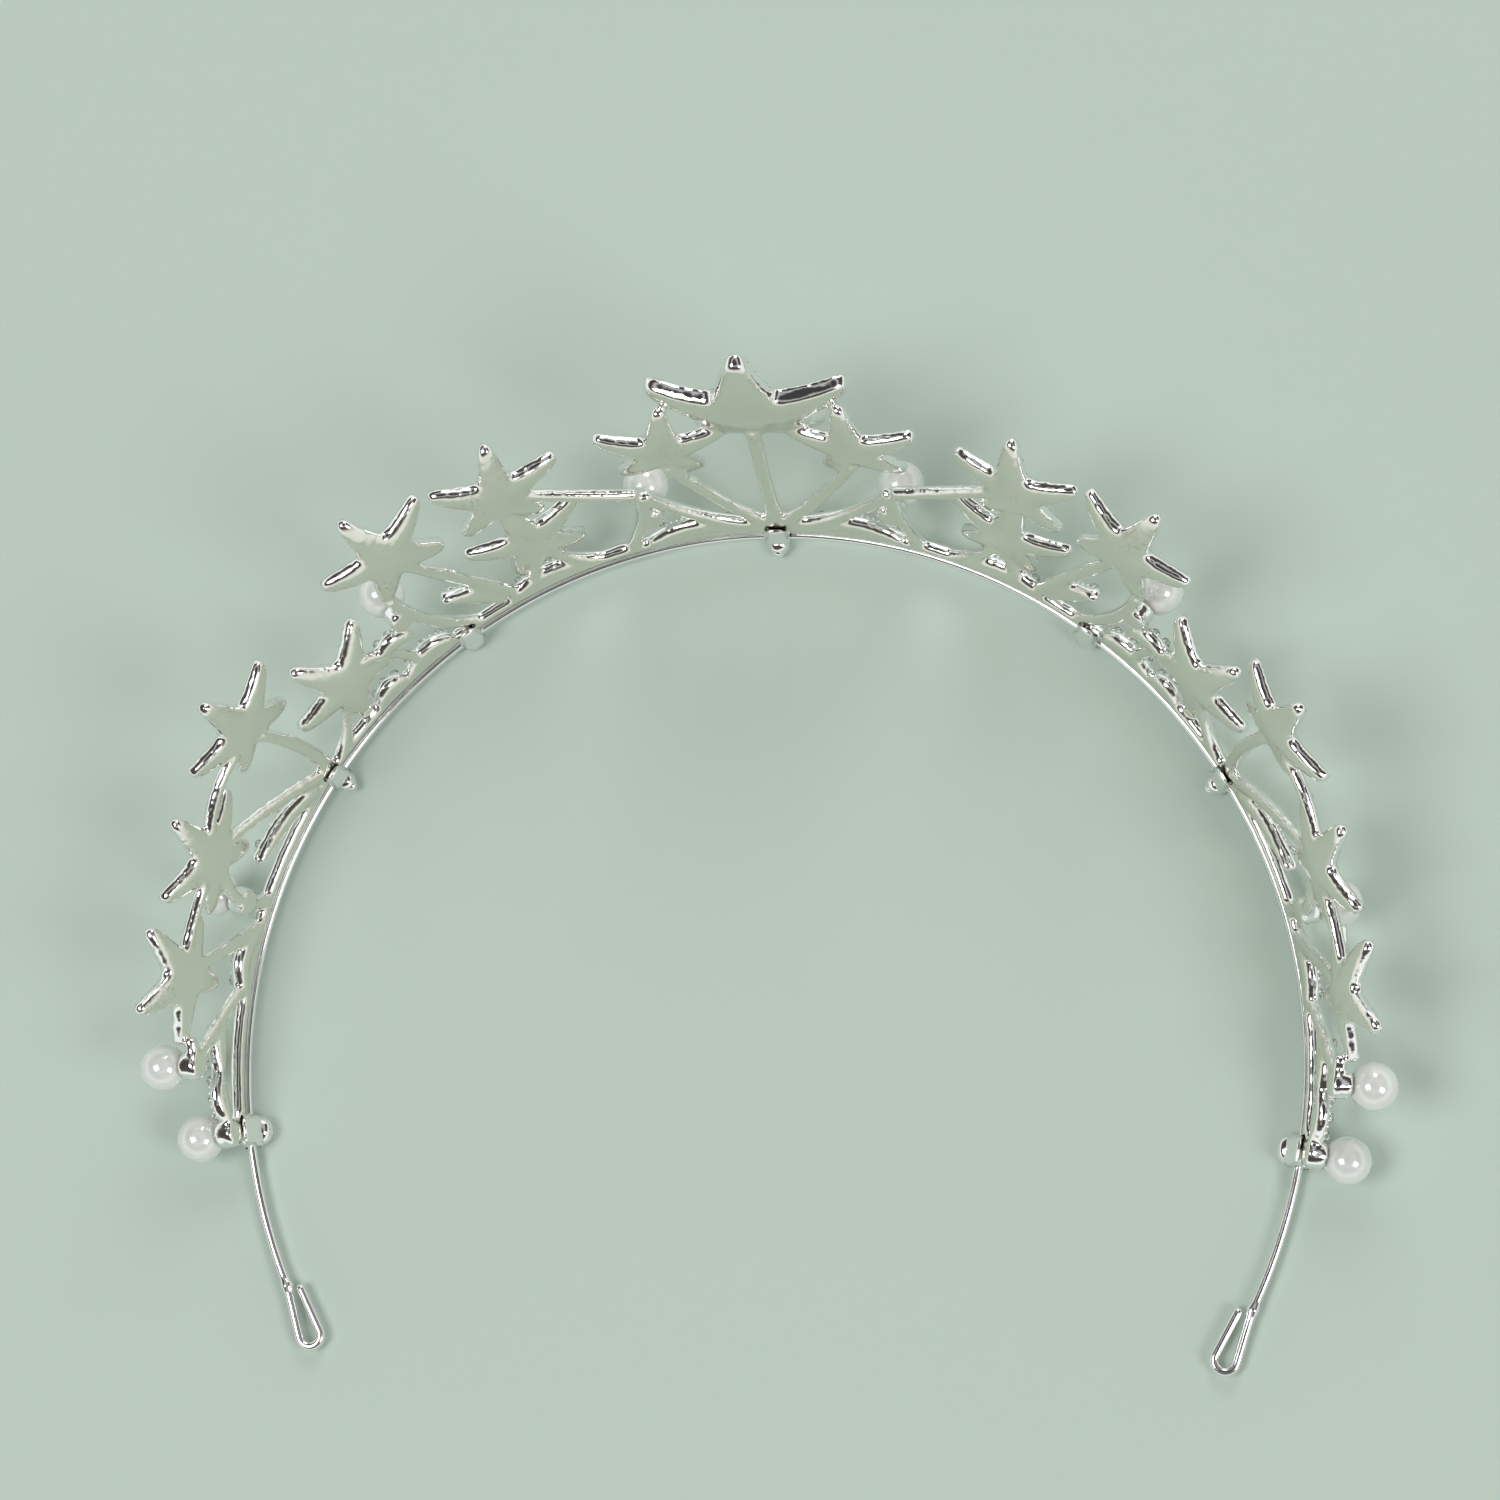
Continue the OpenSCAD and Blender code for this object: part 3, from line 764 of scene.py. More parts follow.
class Shader:
    """Node tree of one material, built node by node."""

    def __init__(self, name: str) -> None:
        """Starts a material with an empty tree.

        Args:
            name: Name of the material.
        """
        self.material = bpy.data.materials.new(name)
        self.material.use_nodes = True
        self.tree = self.material.node_tree
        self.tree.nodes.clear()
        self.surface = self.add("ShaderNodeBsdfPrincipled")
        output = self.add("ShaderNodeOutputMaterial")
        self.tree.links.new(self.surface.outputs["BSDF"], output.inputs["Surface"])

    def add(self, kind: str, inputs: dict | None = None, **settings: object) -> bpy.types.Node:
        """Adds a node.

        Args:
            kind: Blender's name for the kind of node.
            inputs: Values or output sockets for the node's inputs, by name or number.
            **settings: Attributes of the node.

        Returns:
            The node.
        """
        node = self.tree.nodes.new(kind)
        for key, value in settings.items():
            setattr(node, key, value)
        for key, value in (inputs or {}).items():
            self.feed(node.inputs[key], value)
        return node

    def feed(self, socket: Socket, value: object) -> None:
        """Links an output socket to an input, or sets a constant there.

        Args:
            socket: Input socket.
            value: Output socket, number, vector or colour.
        """
        if isinstance(value, Socket):
            self.tree.links.new(value, socket)
        else:
            socket.default_value = value

    def principled(self, **values: object) -> None:
        """Sets inputs of the shader, an underscore standing for a space in their names.

        Args:
            **values: Constants or output sockets by input name.
        """
        for key, value in values.items():
            self.feed(self.surface.inputs[key.replace("_", " ")], value)

    def noise(self, scale: float, detail: float, vector: Socket) -> Socket:
        """Noise of about 1 / scale metres.

        Args:
            scale: Scale of the pattern.
            detail: Octaves of detail.
            vector: Coordinates.

        Returns:
            The noise's factor.
        """
        node = self.add("ShaderNodeTexNoise", {"Vector": vector, "Scale": scale, "Detail": detail})
        return node.outputs["Fac"]

    def spread(self, value: Socket, low: float, high: float, to: tuple[float, float]) -> Socket:
        """Maps a value from low..high to another range, and clamps it there.

        Args:
            value: Value to map.
            low: Value that becomes the start of the range.
            high: Value that becomes its end.
            to: Start and end of the range.

        Returns:
            The mapped value.
        """
        limits = {"Value": value, "From Min": low, "From Max": high, "To Min": to[0], "To Max": to[1]}
        return self.add("ShaderNodeMapRange", limits, clamp=True).outputs["Result"]

    def sums(self, operation: str, a: object, b: object) -> Socket:
        """Adds a maths node.

        Args:
            operation: Blender's name of the operation.
            a: First number or socket.
            b: Second number or socket.

        Returns:
            The result.
        """
        return self.add("ShaderNodeMath", {0: a, 1: b}, operation=operation).outputs["Value"]

    def blend(self, share: object, a: object, b: object) -> Socket:
        """Mixes two colours.

        Args:
            share: Share of the second colour.
            a: First colour.
            b: Second colour.

        Returns:
            The mixed colour.
        """
        node = self.add("ShaderNodeMix", data_type="RGBA")
        for key, value in ((0, share), (6, a), (7, b)):
            self.feed(node.inputs[key], value)
        return node.outputs[2]

    def place(self) -> Socket:
        """Object coordinates, in metres on the tiara."""
        return self.add("ShaderNodeTexCoord").outputs["Object"]

    def value(self, name: str, output: str = "Fac") -> Socket:
        """Value that the mesh keeps for its points.

        Args:
            name: Name of the value.
            output: Output of the attribute node.

        Returns:
            The value.
        """
        return self.add("ShaderNodeAttribute", attribute_name=name).outputs[output]

    def bump(self, height: Socket, strength: object, distance: float) -> None:
        """Gives the shader a bump.

        Args:
            height: Height of the relief.
            strength: Share of the relief that shows.
            distance: Depth of the relief in metres.
        """
        inputs = {"Height": height, "Strength": strength, "Distance": distance}
        self.principled(Normal=self.add("ShaderNodeBump", inputs).outputs["Normal"])


@dataclass(frozen=True)
class Finish:
    """Looks of one material.

    Attributes:
        name: Name of the material.
    """

    name: str

    def material(self) -> Material:
        """Builds the material.

        Returns:
            The material, as its own finish paints it.
        """
        shader = Shader(self.name)
        self.paint(shader)
        return shader.material

    def paint(self, shader: Shader) -> None:
        """Sets up the shader.

        Args:
            shader: Shader of the new material.
        """
        raise NotImplementedError


@dataclass(frozen=True)
class SilverPlate(Finish):
    """Bright silver plate on cast alloy: calm, rougher backs darkened by a painted shade, and dented,
    glossier side walls in the plain silver.

    Attributes:
        silver: Colour of the bright plate on the side walls.
        shade: Painted shade, the darker plate colour put on the backs and fronts, where the share of
            side wall is low.
        tarnish: Colour of the plate in pits.
        dents: Depth of the cast dents in metres.
    """

    name: str = "silver_plate"
    silver: Colour = (0.94, 0.94, 0.93, 1)
    shade: Colour = (0.80, 0.79, 0.71, 1)
    tarnish: Colour = (0.42, 0.37, 0.32, 1)
    dents: float = 0.0005

    DENT, PIT, CLOUD = 520, 3000, 160

    def paint(self, shader: Shader) -> None:
        """Metal whose gloss, dents and painted shade on the backs follow the share of side wall kept in
        the mesh.
        """
        place, wall = shader.place(), shader.value("wall")
        dents = shader.noise(self.DENT, 1, place)
        pits = shader.noise(self.PIT, 2, place)
        clouds = shader.noise(self.CLOUD, 3, place)
        stain = shader.spread(shader.sums("MULTIPLY", pits, clouds), 0.34, 0.44, (0, 0.4))
        # Painted shade: backs and fronts, with a low share of side wall, get the darker shade colour in
        # place of the silver.
        tint = shader.blend(wall, self.shade, self.silver)
        calm = shader.spread(clouds, 0.3, 0.7, (0.14, 0.26))
        gloss = shader.add("ShaderNodeMix", {0: wall, 2: calm, 3: 0.07}).outputs[0]
        height = shader.sums("ADD", dents, shader.sums("MULTIPLY", pits, 0.035))
        strength = shader.spread(wall, 0, 1, (0.16, 0.45))
        colour = shader.blend(stain, tint, self.tarnish)
        shader.principled(Base_Color=colour, Metallic=1.0, Roughness=gloss)
        shader.bump(height, strength, self.dents)


@dataclass(frozen=True)
class DrawnWire(Finish):
    """Bright drawn wire with fine lines along it.

    Attributes:
        silver: Colour of the wire.
        shade: Colour in the drawn lines.
    """

    name: str = "drawn_wire"
    silver: Colour = (0.92, 0.92, 0.91, 1)
    shade: Colour = (0.62, 0.61, 0.60, 1)

    LINE, CLOUD = 9, 300

    def paint(self, shader: Shader) -> None:
        """Metal with lines that follow the value `drawn` kept in the mesh."""
        lines = shader.noise(self.LINE, 3, shader.value("drawn", "Vector"))
        clouds = shader.noise(self.CLOUD, 2, shader.place())
        share = shader.spread(lines, 0.5, 0.68, (0, 0.5))
        rough = shader.spread(clouds, 0.3, 0.7, (0.07, 0.17))
        colour = shader.blend(share, self.silver, self.shade)
        shader.principled(Base_Color=colour, Metallic=1.0, Roughness=rough)
        shader.bump(lines, 0.25, 0.00005)


@dataclass(frozen=True)
class Nacre(Finish):
    """Lustrous white pearl.

    Attributes:
        body: Colour of the nacre.
        blush: Warm tint that drifts over it.
    """

    name: str = "nacre"
    body: Colour = (0.84, 0.88, 0.84, 1)
    blush: Colour = (0.86, 0.85, 0.80, 1)

    DRIFT, CLOUD, GRAIN = 260, 1500, 2600

    def paint(self, shader: Shader) -> None:
        """Soft white with a clear coat, a faint relief and a slow drift of tint."""
        place = shader.place()
        drift = shader.spread(shader.noise(self.DRIFT, 2, place), 0.35, 0.65, (0, 0.4))
        rough = shader.spread(shader.noise(self.CLOUD, 3, place), 0.3, 0.7, (0.14, 0.22))
        shader.principled(
            Base_Color=shader.blend(drift, self.body, self.blush),
            Roughness=rough,
            Subsurface_Weight=0.15,
            Subsurface_Scale=0.0006,
            Specular_IOR_Level=0.9,
            Coat_Weight=1.0,
            Coat_IOR=1.8,
            Coat_Roughness=0.05,
        )
        shader.bump(shader.noise(self.GRAIN, 2, place), 0.04, 0.00004)


@dataclass(frozen=True)
class CutCrystal(Finish):
    """Clear cut crystal.

    Attributes:
        tint: Colour of the glass.
        ior: Index of refraction.
    """

    name: str = "cut_crystal"
    tint: Colour = (0.96, 0.98, 1.0, 1)
    ior: float = 1.6

    CLOUD = 1200

    def paint(self, shader: Shader) -> None:
        """Glass with a faint drift of roughness over its facets."""
        rough = shader.spread(shader.noise(self.CLOUD, 2, shader.place()), 0.3, 0.7, (0.01, 0.05))
        shader.principled(Base_Color=self.tint, Roughness=rough, IOR=self.ior, Transmission_Weight=0.9)


@dataclass(frozen=True)
class PlainFloor(Finish):
    """Plain pale floor.

    Attributes:
        colour: Colour of the floor.
    """

    name: str = "plain_floor"
    colour: Colour = (0.60, 0.71, 0.63, 1)

    def paint(self, shader: Shader) -> None:
        """Matt floor of one colour."""
        shader.principled(Base_Color=self.colour, Roughness=0.75, Specular_IOR_Level=0.2)


# Sub-assemblies


@dataclass
class Workshop:
    """Finishes of the tiara, and the way a finished piece joins the frame."""

    materials: dict[Slot, Material] = field(init=False)

    def __post_init__(self) -> None:
        """Makes one material for each slot."""
        self.materials = {
            Slot.SILVER: SilverPlate().material(),
            Slot.CLIP: SilverPlate("clip_plate", dents=0.0008).material(),
            Slot.WIRE: DrawnWire().material(),
            Slot.PEARL: Nacre().material(),
            Slot.CRYSTAL: CutCrystal().material(),
        }

    def finish(self, piece: Thing, node: str, slot: Slot) -> None:
        """Dresses a piece and puts it in the place of its CAD node.

        Args:
            piece: Finished object.
            node: CAD node that it stands for.
            slot: Material slot of the record.
        """
        piece.data.materials.clear()
        piece.data.materials.append(self.materials[slot])
        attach(piece, BODY)
        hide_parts(node)
        log.info("%s: %d faces for %s", piece.name, len(piece.data.polygons), node)


@dataclass
class Casting:
    """One plated casting: stars, stems, leaves, pearl cups and a rail, flowed together.

    Attributes:
        node: CAD node that it stands for.
        stars: Stars with the sides they are on.
        stems: Stems with their sides.
        leaves: Leaves with their sides.
        cups: Pearl seats with their sides.
        rail: Angles where the rail starts and ends, signed by side.
        grain: Size of the cells in which the metal flows together.
        flow: Rounds of smoothing.
        fill: Thickness that the plating gives back to the smoothed skin.
    """

    node: str
    stars: list[tuple[Star, Side]]
    stems: list[tuple[Stem, Side]]
    leaves: list[tuple[Leaf, Side]]
    cups: list[tuple[PearlSeat, Side]]
    rail: tuple[float, float]
    grain: float = 0.315
    flow: int = 5
    fill: float = 0.1

    RAIL_H = 1.5
    RAIL_T = 1.7
    RAIL_STEP = 6
    RAIL_LAP = 0.4
    BACK_FROM, WALL_SPAN = 0.85, 0.45

    def rail_bodies(self) -> list[Surface]:
        """Rail beside the wire, in lengths of some degrees so that it follows the arch."""
        span = abs(self.rail[1] - self.rail[0])
        edges = np.linspace(*self.rail, max(2, int(span / self.RAIL_STEP)))
        lengths = [
            ((a - self.RAIL_LAP, RAIL), ((a + b) / 2, RAIL), (b + self.RAIL_LAP, RAIL))
            for a, b in zip(edges[:-1], edges[1:])
        ]
        return [Stem(*ends, (self.RAIL_H,) * 3, self.RAIL_T, 0.0).body() for ends in lengths]

    def parts(self) -> list[Surface]:
        """Bodies that flow together."""
        bodies = [piece.body().on(side) for piece, side in self.stars + self.stems + self.leaves]
        return bodies + [seat.cup().on(side) for seat, side in self.cups] + self.rail_bodies()

    def beads(self) -> list[Surface]:
        """Beads on the front edges of the stars and leaves."""
        return [bead.on(side) for piece, side in self.stars + self.leaves for bead in piece.beads()]

    def flowed(self) -> Surface:
        """Joins the bodies into one skin in small cells and smooths it, so that the joints are filleted.

        Returns:
            The skin of the casting.
        """
        blank = Surface.joined(self.parts()).mesh(self.node + "_blank")
        cells = blank.modifiers.new("cells", "REMESH")
        cells.mode = "VOXEL"
        cells.voxel_size = self.grain * MM
        smooth = blank.modifiers.new("flow", "SMOOTH")
        smooth.iterations = self.flow
        plating = blank.modifiers.new("plating", "DISPLACE")
        plating.mid_level, plating.strength = 0.0, self.fill * MM
        baked = blank.evaluated_get(bpy.context.evaluated_depsgraph_get()).to_mesh()
        skin = Surface(read(baked.vertices, "co", 3) / MM, read(baked.polygons, "vertices", 4, "i4"))
        data = blank.data
        bpy.data.objects.remove(blank)
        bpy.data.meshes.remove(data)
        return skin

    def wall_share(self, piece: Thing) -> None:
        """Keeps for each point how far it belongs to a side wall: 1 - |normal . out|, stretched.

        Args:
            piece: Casting that gets the value `wall`.
        """
        points, normals = (read(piece.data.vertices, key, 3) for key in ("co", "normal"))
        level = points[:, :2] / MM - ARCH.centre[:2]
        _, out, _ = ARCH.axes(np.degrees(np.arctan2(level[:, 0], level[:, 1])))
        facing = np.abs(np.sum(normals * out, 1))
        # A low value, on backs and fronts, gives the plate its painted shade; the value also sets gloss
        # and dents.
        keep(piece.data, "wall", np.clip((self.BACK_FROM - facing) / self.WALL_SPAN, 0, 1))

    def build(self, shop: Workshop) -> None:
        """Makes the casting and dresses it.

        Args:
            shop: Workshop with the finishes.
        """
        piece = Surface.joined([self.flowed()] + self.beads()).mesh(self.node + "_cast")
        self.wall_share(piece)
        shop.finish(piece, self.node, Slot.SILVER)


@dataclass
class HeadbandWire:
    """Springy wire: the arch, two flatter tails and a hairpin loop at each end.

    Attributes:
        tail_r: Radius of a tail.
        tail_sweep: Angle of a tail in degrees.
        neck_turn: Turn outwards at the knuckle in degrees.
        loop_len: Strand into a loop.
        loop_gap: Inside width of a loop.
        loop_turn: Angle of a loop's bend in degrees.
        loop_mouth: Gap that is left at the loop's end.
        knuckle_d: Diameter of the pinched knuckle.
    """

    tail_r: float = 76
    tail_sweep: float = 15.5
    neck_turn: float = 8
    loop_len: float = 6.77
    loop_gap: float = 1.6
    loop_turn: float = 191
    loop_mouth: float = 0.3
    knuckle_d: float = 1.7

    AROUND = 20
    STEP = 0.35
    NECK = 0.3
    KNUCKLE = 0.7
    DRAWN = 0.004

    def half_route(self) -> tuple[Array, float]:
        """Right half of the wire, walked from the front: heading and step, summed as complex numbers.

        Returns:
            Points of the half as complex numbers, and the length from the front to the knuckle.
        """
        loop_r = (self.loop_gap + ARCH.wire_d) / 2
        bend = np.radians(self.loop_turn)
        back = (loop_r * (1 - np.cos(bend)) - ARCH.wire_d - self.loop_mouth) / -np.sin(bend)
        turns = [
            (np.radians(ARCH.half) * ARCH.radius, np.radians(ARCH.half)),
            (np.radians(self.tail_sweep) * self.tail_r - self.NECK / 2, np.radians(self.tail_sweep)),
            (self.NECK, -np.radians(self.neck_turn)),
            (self.loop_len - self.NECK / 2, 0.0),
            (bend * loop_r, bend),
            (back, 0.0),
        ]
        steps, heads, head = [], [], 0.0
        for length, turn in turns:
            count = max(4, int(length / self.STEP))
            steps.append(np.full(count, length / count))
            heads.append(head + turn * (np.arange(count) + 0.5) / count)
            head += turn
        walk = np.concatenate(steps) * np.exp(-1j * np.concatenate(heads))
        return np.concatenate([[0], np.cumsum(walk)]), turns[0][0] + turns[1][0]

    def build(self, shop: Workshop) -> None:
        """Sweeps a round section along the wire, fuller at the knuckles and rounded at its ends.

        Args:
            shop: Workshop with the finishes.
        """
        half, knuckle = self.half_route()
        route = np.concatenate([-np.conj(half[:0:-1]), half]) + 1j * ARCH.radius
        along = np.gradient(route)
        side = 1j * along / np.abs(along)
        reach = np.concatenate([[0], np.cumsum(np.abs(np.diff(route)))])
        reach -= reach[-1] / 2
        swell = self.knuckle_d / ARCH.wire_d - 1
        bulge = 1 + swell * np.exp(-(((np.abs(reach) - knuckle) / self.KNUCKLE) ** 2))
        ends = np.sqrt(np.clip((reach[-1] - np.abs(reach)) / (ARCH.wire_d / 2), 0, 1))
        radius = (ARCH.wire_d / 2 * bulge * ends)[:, None]
        turn = np.linspace(0, 2 * np.pi, self.AROUND, endpoint=False)
        flat = route[:, None] + radius * np.cos(turn) * side[:, None]
        rows = np.stack([flat.real, flat.imag, radius * np.sin(turn)], -1) + ARCH.centre
        skin = Surface.sleeve(rows)
        lines = reach[:, None] * self.DRAWN
        drawn = np.broadcast_arrays(np.cos(turn)[None, :], np.sin(turn)[None, :], lines)
        skin.values["drawn"] = np.stack(drawn, -1).reshape(-1, 3)
        shop.finish(skin.mesh("springy_wire"), "headband_wire", Slot.WIRE)


@dataclass
class WireClip:
    """Folded strip round the wire, with a foot below and a tab up behind the rail.

    Attributes:
        node: CAD node that it stands for.
        angle: Angle along the arch in degrees.
        side: Half of the tiara.
        width: Width along the wire.
        reach: Depth of its block inside the wire.
        fold: Radius of the rounded end of the strip, or 0.
        bulge: Place of the solder lump inside its block, or 0 for none.
    """

    node: str
    angle: float
    side: Side
    width: float = 3.2
    reach: float = 1.75
    fold: float = 0.0
    bulge: float = 0.45

    RING = 1.42
    BACK = 1.75
    STRIP = 0.8
    TAB = 3.87
    TAB_FOOT, REAR_FOOT = 1.5, 1.9
    TOP = (0, 25, 50, 75, 95)
    EDGE = 1.2
    SOFTEN = 0.7
    COUNT = 160
    SINK = 0.2
    BRIGHT = 0.9
    CAPS = (0, 0.5, 0.85)
    LUMP_MESH, FOLD_MESH = (24, 16), (20, 14)

    def outline(self) -> Outline:
        """Side of the clip: its flat foot, the round over the wire and the leaning tab."""
        lean = np.exp(-1j * np.radians(ARCH.flare))
        top = self.RING * np.exp(1j * np.radians(self.TOP))
        foot = [-self.reach - 1j * self.RING, self.reach - 1j * self.RING, self.reach + 0j]
        tab = -self.BACK + self.STRIP + 1j * np.array([self.TAB_FOOT, self.TAB])
        rear = -self.BACK + 1j * np.array([self.TAB, self.REAR_FOOT])
        block = [-self.reach + 1j * self.RING]
        corners = np.concatenate([foot, top, tab * lean, rear * lean, block])
        return Outline.rounded(corners, self.SOFTEN, self.COUNT)

    def build(self, shop: Workshop) -> None:
        """Makes the clip with soft edges, its solder lump and the rounded end of its strip.

        Args:
            shop: Workshop with the finishes.
        """
        half = self.width / 2
        rows = [(self.EDGE, share, -half) for share in self.CAPS]
        rows += rounding(self.EDGE, -half, 1) + rounding(self.EDGE, half, -1)
        rows += [(self.EDGE, share, half) for share in self.CAPS[::-1]]
        local = self.outline().puck(np.array(rows))[..., [1, 0, 2]]
        turn = np.radians(self.angle)
        axes = np.array([[np.cos(turn), -np.sin(turn), 0], [np.sin(turn), np.cos(turn), 0], [0, 0, 1]])
        middle = ARCH.centre + ARCH.radius * axes[1]
        bodies = [Surface.sleeve(middle + local @ axes)]
        if self.bulge:
            lump = ball(np.zeros(3), self.RING, *self.LUMP_MESH)
            wide = np.array([self.width / WireClip.width, 1, 1])
            lump.points = middle + (lump.points * wide - [0, self.reach - self.bulge, 0]) @ axes
            bodies.append(lump)
        if self.fold:
            end = middle - (self.reach + self.fold - self.SINK) * axes[1]
            bodies.append(ball(end, self.fold, *self.FOLD_MESH))
        skin = Surface.joined(bodies).on(self.side)
        # The clip takes nine tenths of the side walls' silver, gloss and dents, and a tenth of the
        # backs' painted shade.
        skin.values["wall"] = np.full(len(skin.points), self.BRIGHT)
        shop.finish(skin.mesh(self.node + "_strip"), self.node, Slot.CLIP)


@dataclass
class CrystalSet:
    """Cut crystals of one star, or of the leaves of one casting.

    Attributes:
        node: CAD node that it stands for.
        seats: Place, axes and diameter of each crystal, with its side.
    """

    node: str
    seats: list[tuple[tuple[Array, Array, float], Side]]

    FACETS = 8
    RISE = 0.45
    GIRDLE = 0.33
    CROWN, SHOULDER = 0.86, 0.68
    TABLE = 0.55

    def stone(self, place: Array, axes: Array, diameter: float) -> Surface:
        """Crystal with a girdle, two crowns of facets turned half a facet apart, and a flat table.

        Args:
            place: Middle of its flat back.
            axes: Sideways, outward and upward axes as rows.
            diameter: Diameter of the girdle.

        Returns:
            The crystal.
        """
        rise = diameter * self.RISE
        half = np.pi / self.FACETS
        rows = [(0, 0, 0), (1, 0, 0), (1, 0, rise * self.GIRDLE)]
        rows += [(self.CROWN, half, rise * self.SHOULDER), (self.TABLE, 0, rise), (0, 0, rise)]
        share, turn, depth = (np.array(rows)[:, k, None] for k in range(3))
        angle = 2 * half * np.arange(self.FACETS) + turn
        flat = share * diameter / 2
        local = np.stack([flat * np.sin(angle), depth + 0 * angle, flat * np.cos(angle)], -1)
        return Surface.sleeve(place + local @ axes)

    def build(self, shop: Workshop) -> None:
        """Makes the crystals with flat facets.

        Args:
            shop: Workshop with the finishes.
        """
        skin = Surface.joined([self.stone(*seat).on(side) for seat, side in self.seats])
        shop.finish(skin.mesh(self.node + "_cut", smooth=False), self.node, Slot.CRYSTAL)


@dataclass(frozen=True)
class Softbox:
    """Square studio lamp.

    Attributes:
        name: Name of the lamp.
        place: Where it hangs, in metres.
        size: Edge in metres.
        power: Power in watts.
        colour: Colour of its light.
    """

    name: str
    place: tuple[float, float, float]
    size: float
    power: float
    colour: tuple[float, float, float] = (1, 1, 1)

    def build(self) -> None:
        """Hangs the lamp, facing the tiara."""
        light = bpy.data.lights.new(self.name, "AREA")
        light.size, light.energy, light.color = self.size, self.power, self.colour
        lamp = bpy.data.objects.new(self.name, light)
        lamp.location = self.place
        lamp.rotation_euler = (-Vector(self.place)).to_track_quat("-Z", "Y").to_euler()
        bpy.context.scene.collection.objects.link(lamp)
        log.info("%s hung", self.name)


@dataclass
class Studio:
    """Floor, light and camera.

    Attributes:
        floor_size: Edge of the floor in metres.
        lamps: Softboxes.
        sky: Colours of the room, each with its height from 0 at the horizon to 1 overhead.
        target: Point that the camera looks at, from the wire's front middle, in millimetres.
        back: Direction from the target to the camera.
        distance: Distance to the camera in millimetres.
        focal: Focal length in pixels of the picture.
        picture: Edge of the picture in pixels.
        roll: Turn of the picture in degrees.
        sensor: Width of the camera's sensor in millimetres.
        near: Distance in metres at which the camera starts to see.
    """

    floor_size: float = 6.0
    lamps: tuple[Softbox, ...] = (
        Softbox("key_softbox", (-0.40, -0.15, 0.85), 0.40, 3.0),
        Softbox("fill_softbox", (0.60, -0.30, 0.65), 0.35, 2.0),
        Softbox("rear_softbox", (0.10, 0.70, 0.55), 0.35, 1.6),
    )
    sky: tuple[tuple[float, Colour], ...] = (
        (0.0, (0.85, 0.90, 0.86, 1)),
        (0.32, (0.95, 0.97, 0.95, 1)),
        (0.45, (0.10, 0.09, 0.08, 1)),
        (0.76, (0.05, 0.045, 0.04, 1)),
        (0.88, (0.55, 0.56, 0.55, 1)),
        (0.96, (0.05, 0.05, 0.05, 1)),
    )
    target: tuple[float, float, float] = (-3.1, -28.4, 0.0)
    back: tuple[float, float, float] = (0.15, -0.164, 1.0)
    distance: float = 450
    focal: float = 3487.5
    picture: float = 1500
    roll: float = 1.5
    sensor: float = 36
    near: float = 0.01

    def floor(self) -> None:
        """Lays the floor: one flat sheet at the height of the clips' feet."""
        half = self.floor_size / 2 / MM
        level = CAD_BOX[0][2] / MM
        signs = np.array([[-1, -1], [1, -1], [1, 1], [-1, 1]])
        corners = np.column_stack([half * signs, np.full(4, level)])
        sheet = Surface(corners, np.array([[0, 1, 2, 3]])).mesh("floor")
        sheet.data.materials.append(PlainFloor().material())

    def world(self) -> None:
        """Room that is pale near the floor, dim half-way up, with a pale ring below a dark top."""
        world = bpy.data.worlds.new("pale_room")
        world.use_nodes = True
        tree = world.node_tree
        sky = tree.nodes.new("ShaderNodeTexCoord")
        split = tree.nodes.new("ShaderNodeSeparateXYZ")
        ramp = tree.nodes.new("ShaderNodeValToRGB")
        for index, (at, colour) in enumerate(self.sky):
            stops = ramp.color_ramp.elements
            stop = stops[index] if index < len(stops) else stops.new(at)
            stop.position, stop.color = at, colour
        tree.links.new(sky.outputs["Generated"], split.inputs["Vector"])
        tree.links.new(split.outputs["Z"], ramp.inputs["Fac"])
        tree.links.new(ramp.outputs["Color"], tree.nodes["Background"].inputs["Color"])
        bpy.context.scene.world = world

    def camera(self) -> None:
        """Sets the camera as the photograph's: its axes follow from the view direction and the roll."""
        back = Vector(self.back).normalized()
        right = (-back).cross(Vector((0, 1, 0))).normalized()
        up = right.cross(-back)
        roll = np.radians(self.roll)
        across = np.cos(roll) * right + np.sin(roll) * up
        over = np.cos(roll) * up - np.sin(roll) * right
        front = ARCH.centre + [0, ARCH.radius, 0]
        place = (Vector(front + np.array(self.target)) + back * self.distance) * MM
        lens = bpy.data.cameras.new("camera")
        lens.sensor_width = self.sensor
        lens.lens = self.focal * lens.sensor_width / self.picture
        lens.clip_start = self.near
        camera = bpy.data.objects.new("camera", lens)
        turned = Matrix((across, over, back)).transposed().to_4x4()
        camera.matrix_world = Matrix.Translation(place) @ turned
        bpy.context.scene.collection.objects.link(camera)
        bpy.context.scene.camera = camera

    def build(self) -> None:
        """Sets up the whole studio."""
        bpy.context.scene.view_settings.view_transform = "Standard"
        self.floor()
        self.world()
        self.camera()
        for lamp in self.lamps:
            lamp.build()


def on_sides(pieces: Iterable, *sides: Side) -> list[tuple]:
    """Pairs each piece with each of its sides.

    Args:
        pieces: Pieces of one half.
        *sides: Sides, or none for both.

    Returns:
        Pieces with their sides.
    """
    return [(piece, side) for piece in pieces for side in sides or Side]


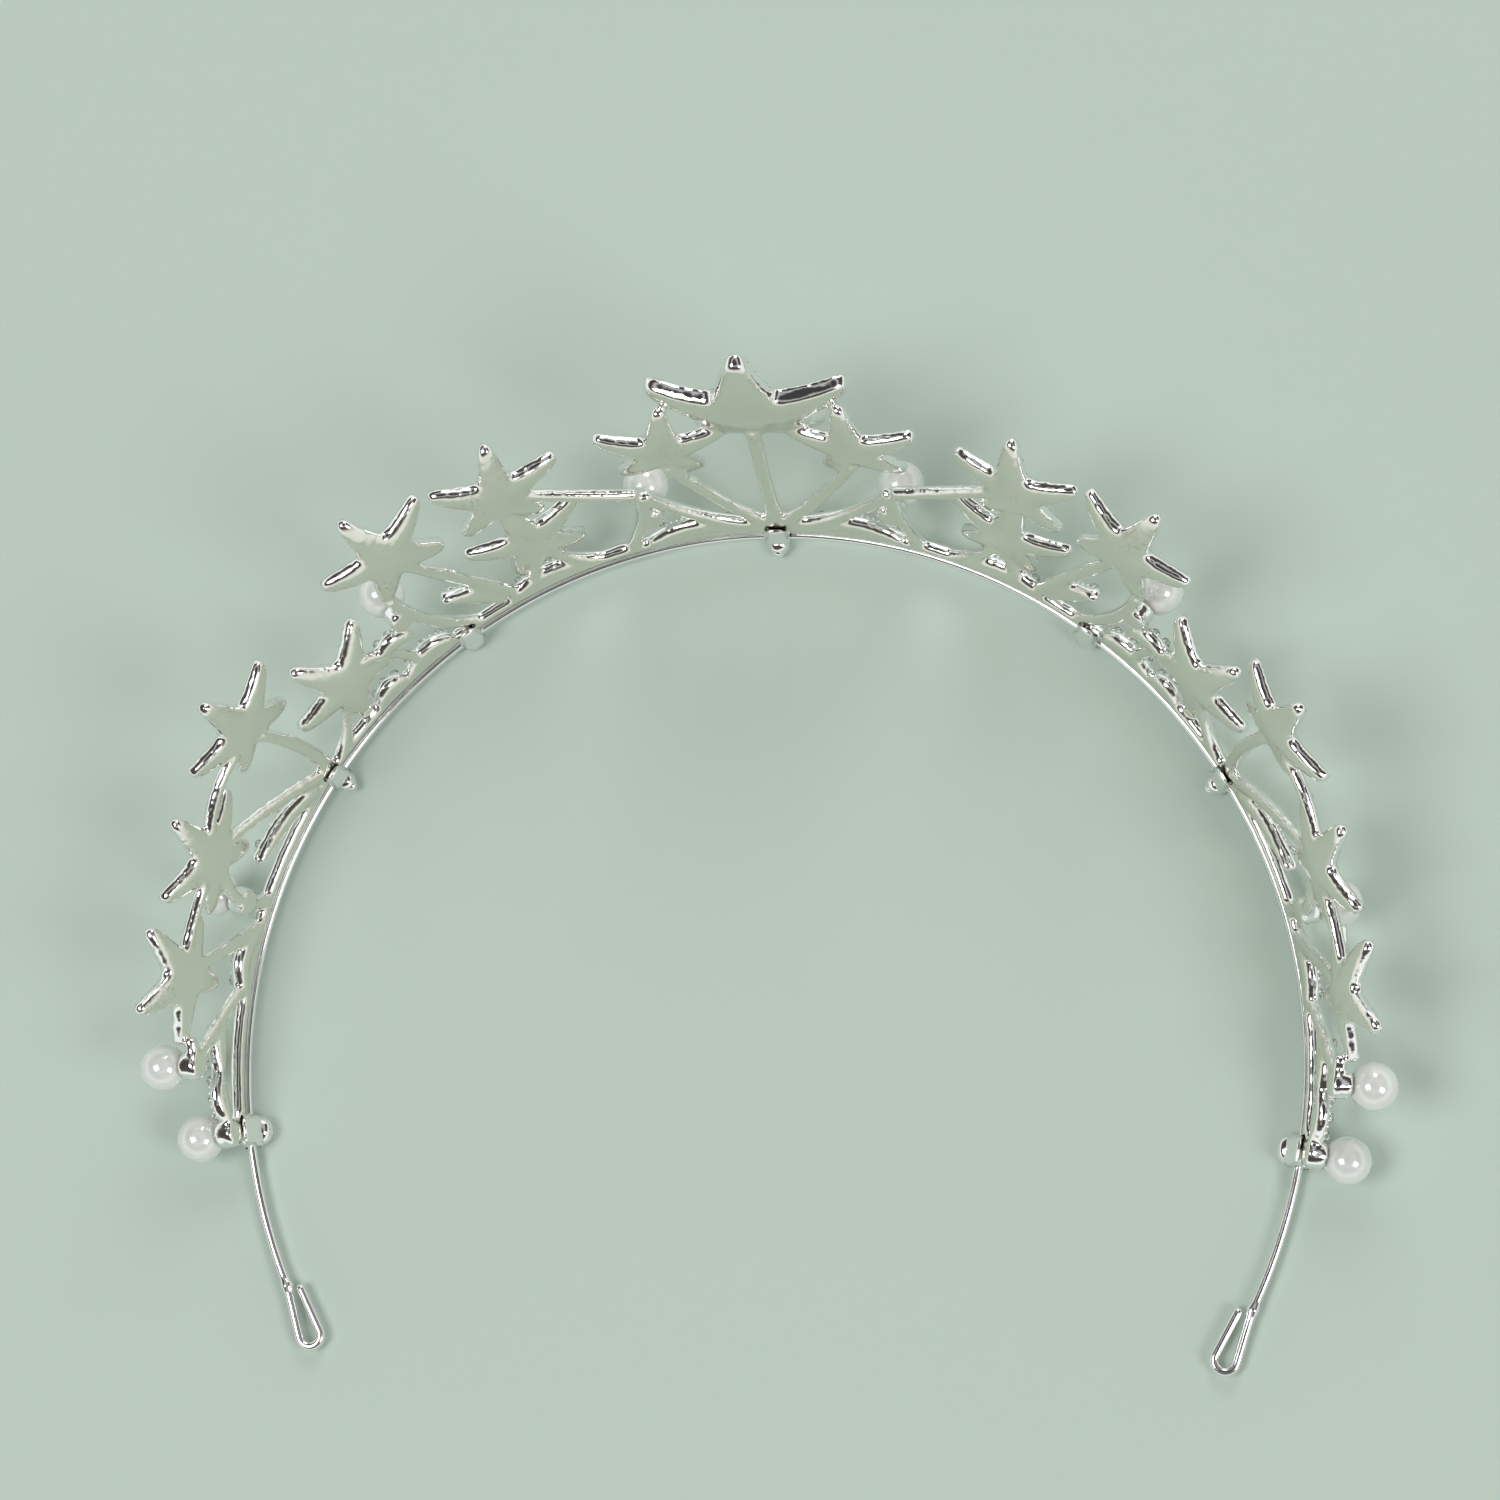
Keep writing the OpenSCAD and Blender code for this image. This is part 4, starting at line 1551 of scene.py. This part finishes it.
def castings() -> list[Casting]:
    """Lays out the three castings.

    Returns:
        The centre casting and the two side castings.
    """
    reach = UPPER_CLIP - RAIL_GAP
    centre = Casting(
        "centre_casting",
        on_sides([STAR_CENTRE], Side.RIGHT) + on_sides(CENTRE_STARS),
        on_sides([CENTRE_SPOKE], Side.RIGHT) + on_sides(CENTRE_STEMS),
        on_sides(CENTRE_LEAVES),
        on_sides(CENTRE_PEARLS),
        (-reach, reach),
    )
    groups = (SIDE_STARS, SIDE_STEMS, SIDE_LEAVES, SIDE_PEARLS)
    sides = [
        Casting(
            f"{side.word}_casting",
            *(on_sides(group, side) for group in groups),
            tuple(sorted((side.value * (UPPER_CLIP + RAIL_GAP), side.value * ARCH.half))),
        )
        for side in Side
    ]
    return [centre, *sides]


def clips() -> list[WireClip]:
    """Lays out the seven wire clips.

    Returns:
        The clips.
    """
    row = [WireClip("clip_centre", 0, Side.RIGHT, fold=FOLD)]
    for side in Side:
        row += [
            WireClip(f"clip_upper_{side.word}", UPPER_CLIP, side, bulge=0),
            WireClip(f"clip_middle_{side.word}", MID_CLIP, side, fold=FOLD),
            WireClip(f"clip_end_{side.word}", ARCH.half, side, width=4.2, reach=2.1),
        ]
    return row


def crystal_sets() -> list[CrystalSet]:
    """Lays out the crystals of the stars and leaves.

    Returns:
        One set for each crystal node.
    """
    rows = [CrystalSet("crystals_star_centre", on_sides(STAR_CENTRE.stones(), Side.RIGHT))]
    for star, side in on_sides(CENTRE_STARS + SIDE_STARS):
        rows.append(CrystalSet(f"crystals_star_{star.name}_{side.word}", on_sides(star.stones(), side)))
    middle = [(seat, side) for leaf, side in on_sides(CENTRE_LEAVES) for seat in leaf.stones()]
    rows.append(CrystalSet("crystals_leaves_centre", middle))
    seats = [seat for leaf in SIDE_LEAVES for seat in leaf.stones()]
    for side in Side:
        rows.append(CrystalSet(f"crystals_leaves_{side.word}", on_sides(seats, side)))
    return rows


def main() -> None:
    """Builds the studio and the tiara, piece by piece."""
    logging.basicConfig(level=logging.INFO, format="%(name)s: %(message)s")
    Studio().build()
    shop = Workshop()
    HeadbandWire().build(shop)
    for group in (castings(), clips(), crystal_sets()):
        for piece in group:
            piece.build(shop)
    for seat, side in on_sides(CENTRE_PEARLS + SIDE_PEARLS):
        node = f"pearl_{seat.name}_{side.word}"
        shop.finish(seat.pearl().on(side).mesh(node + "_nacre"), node, Slot.PEARL)


if __name__ == "__main__":
    main()
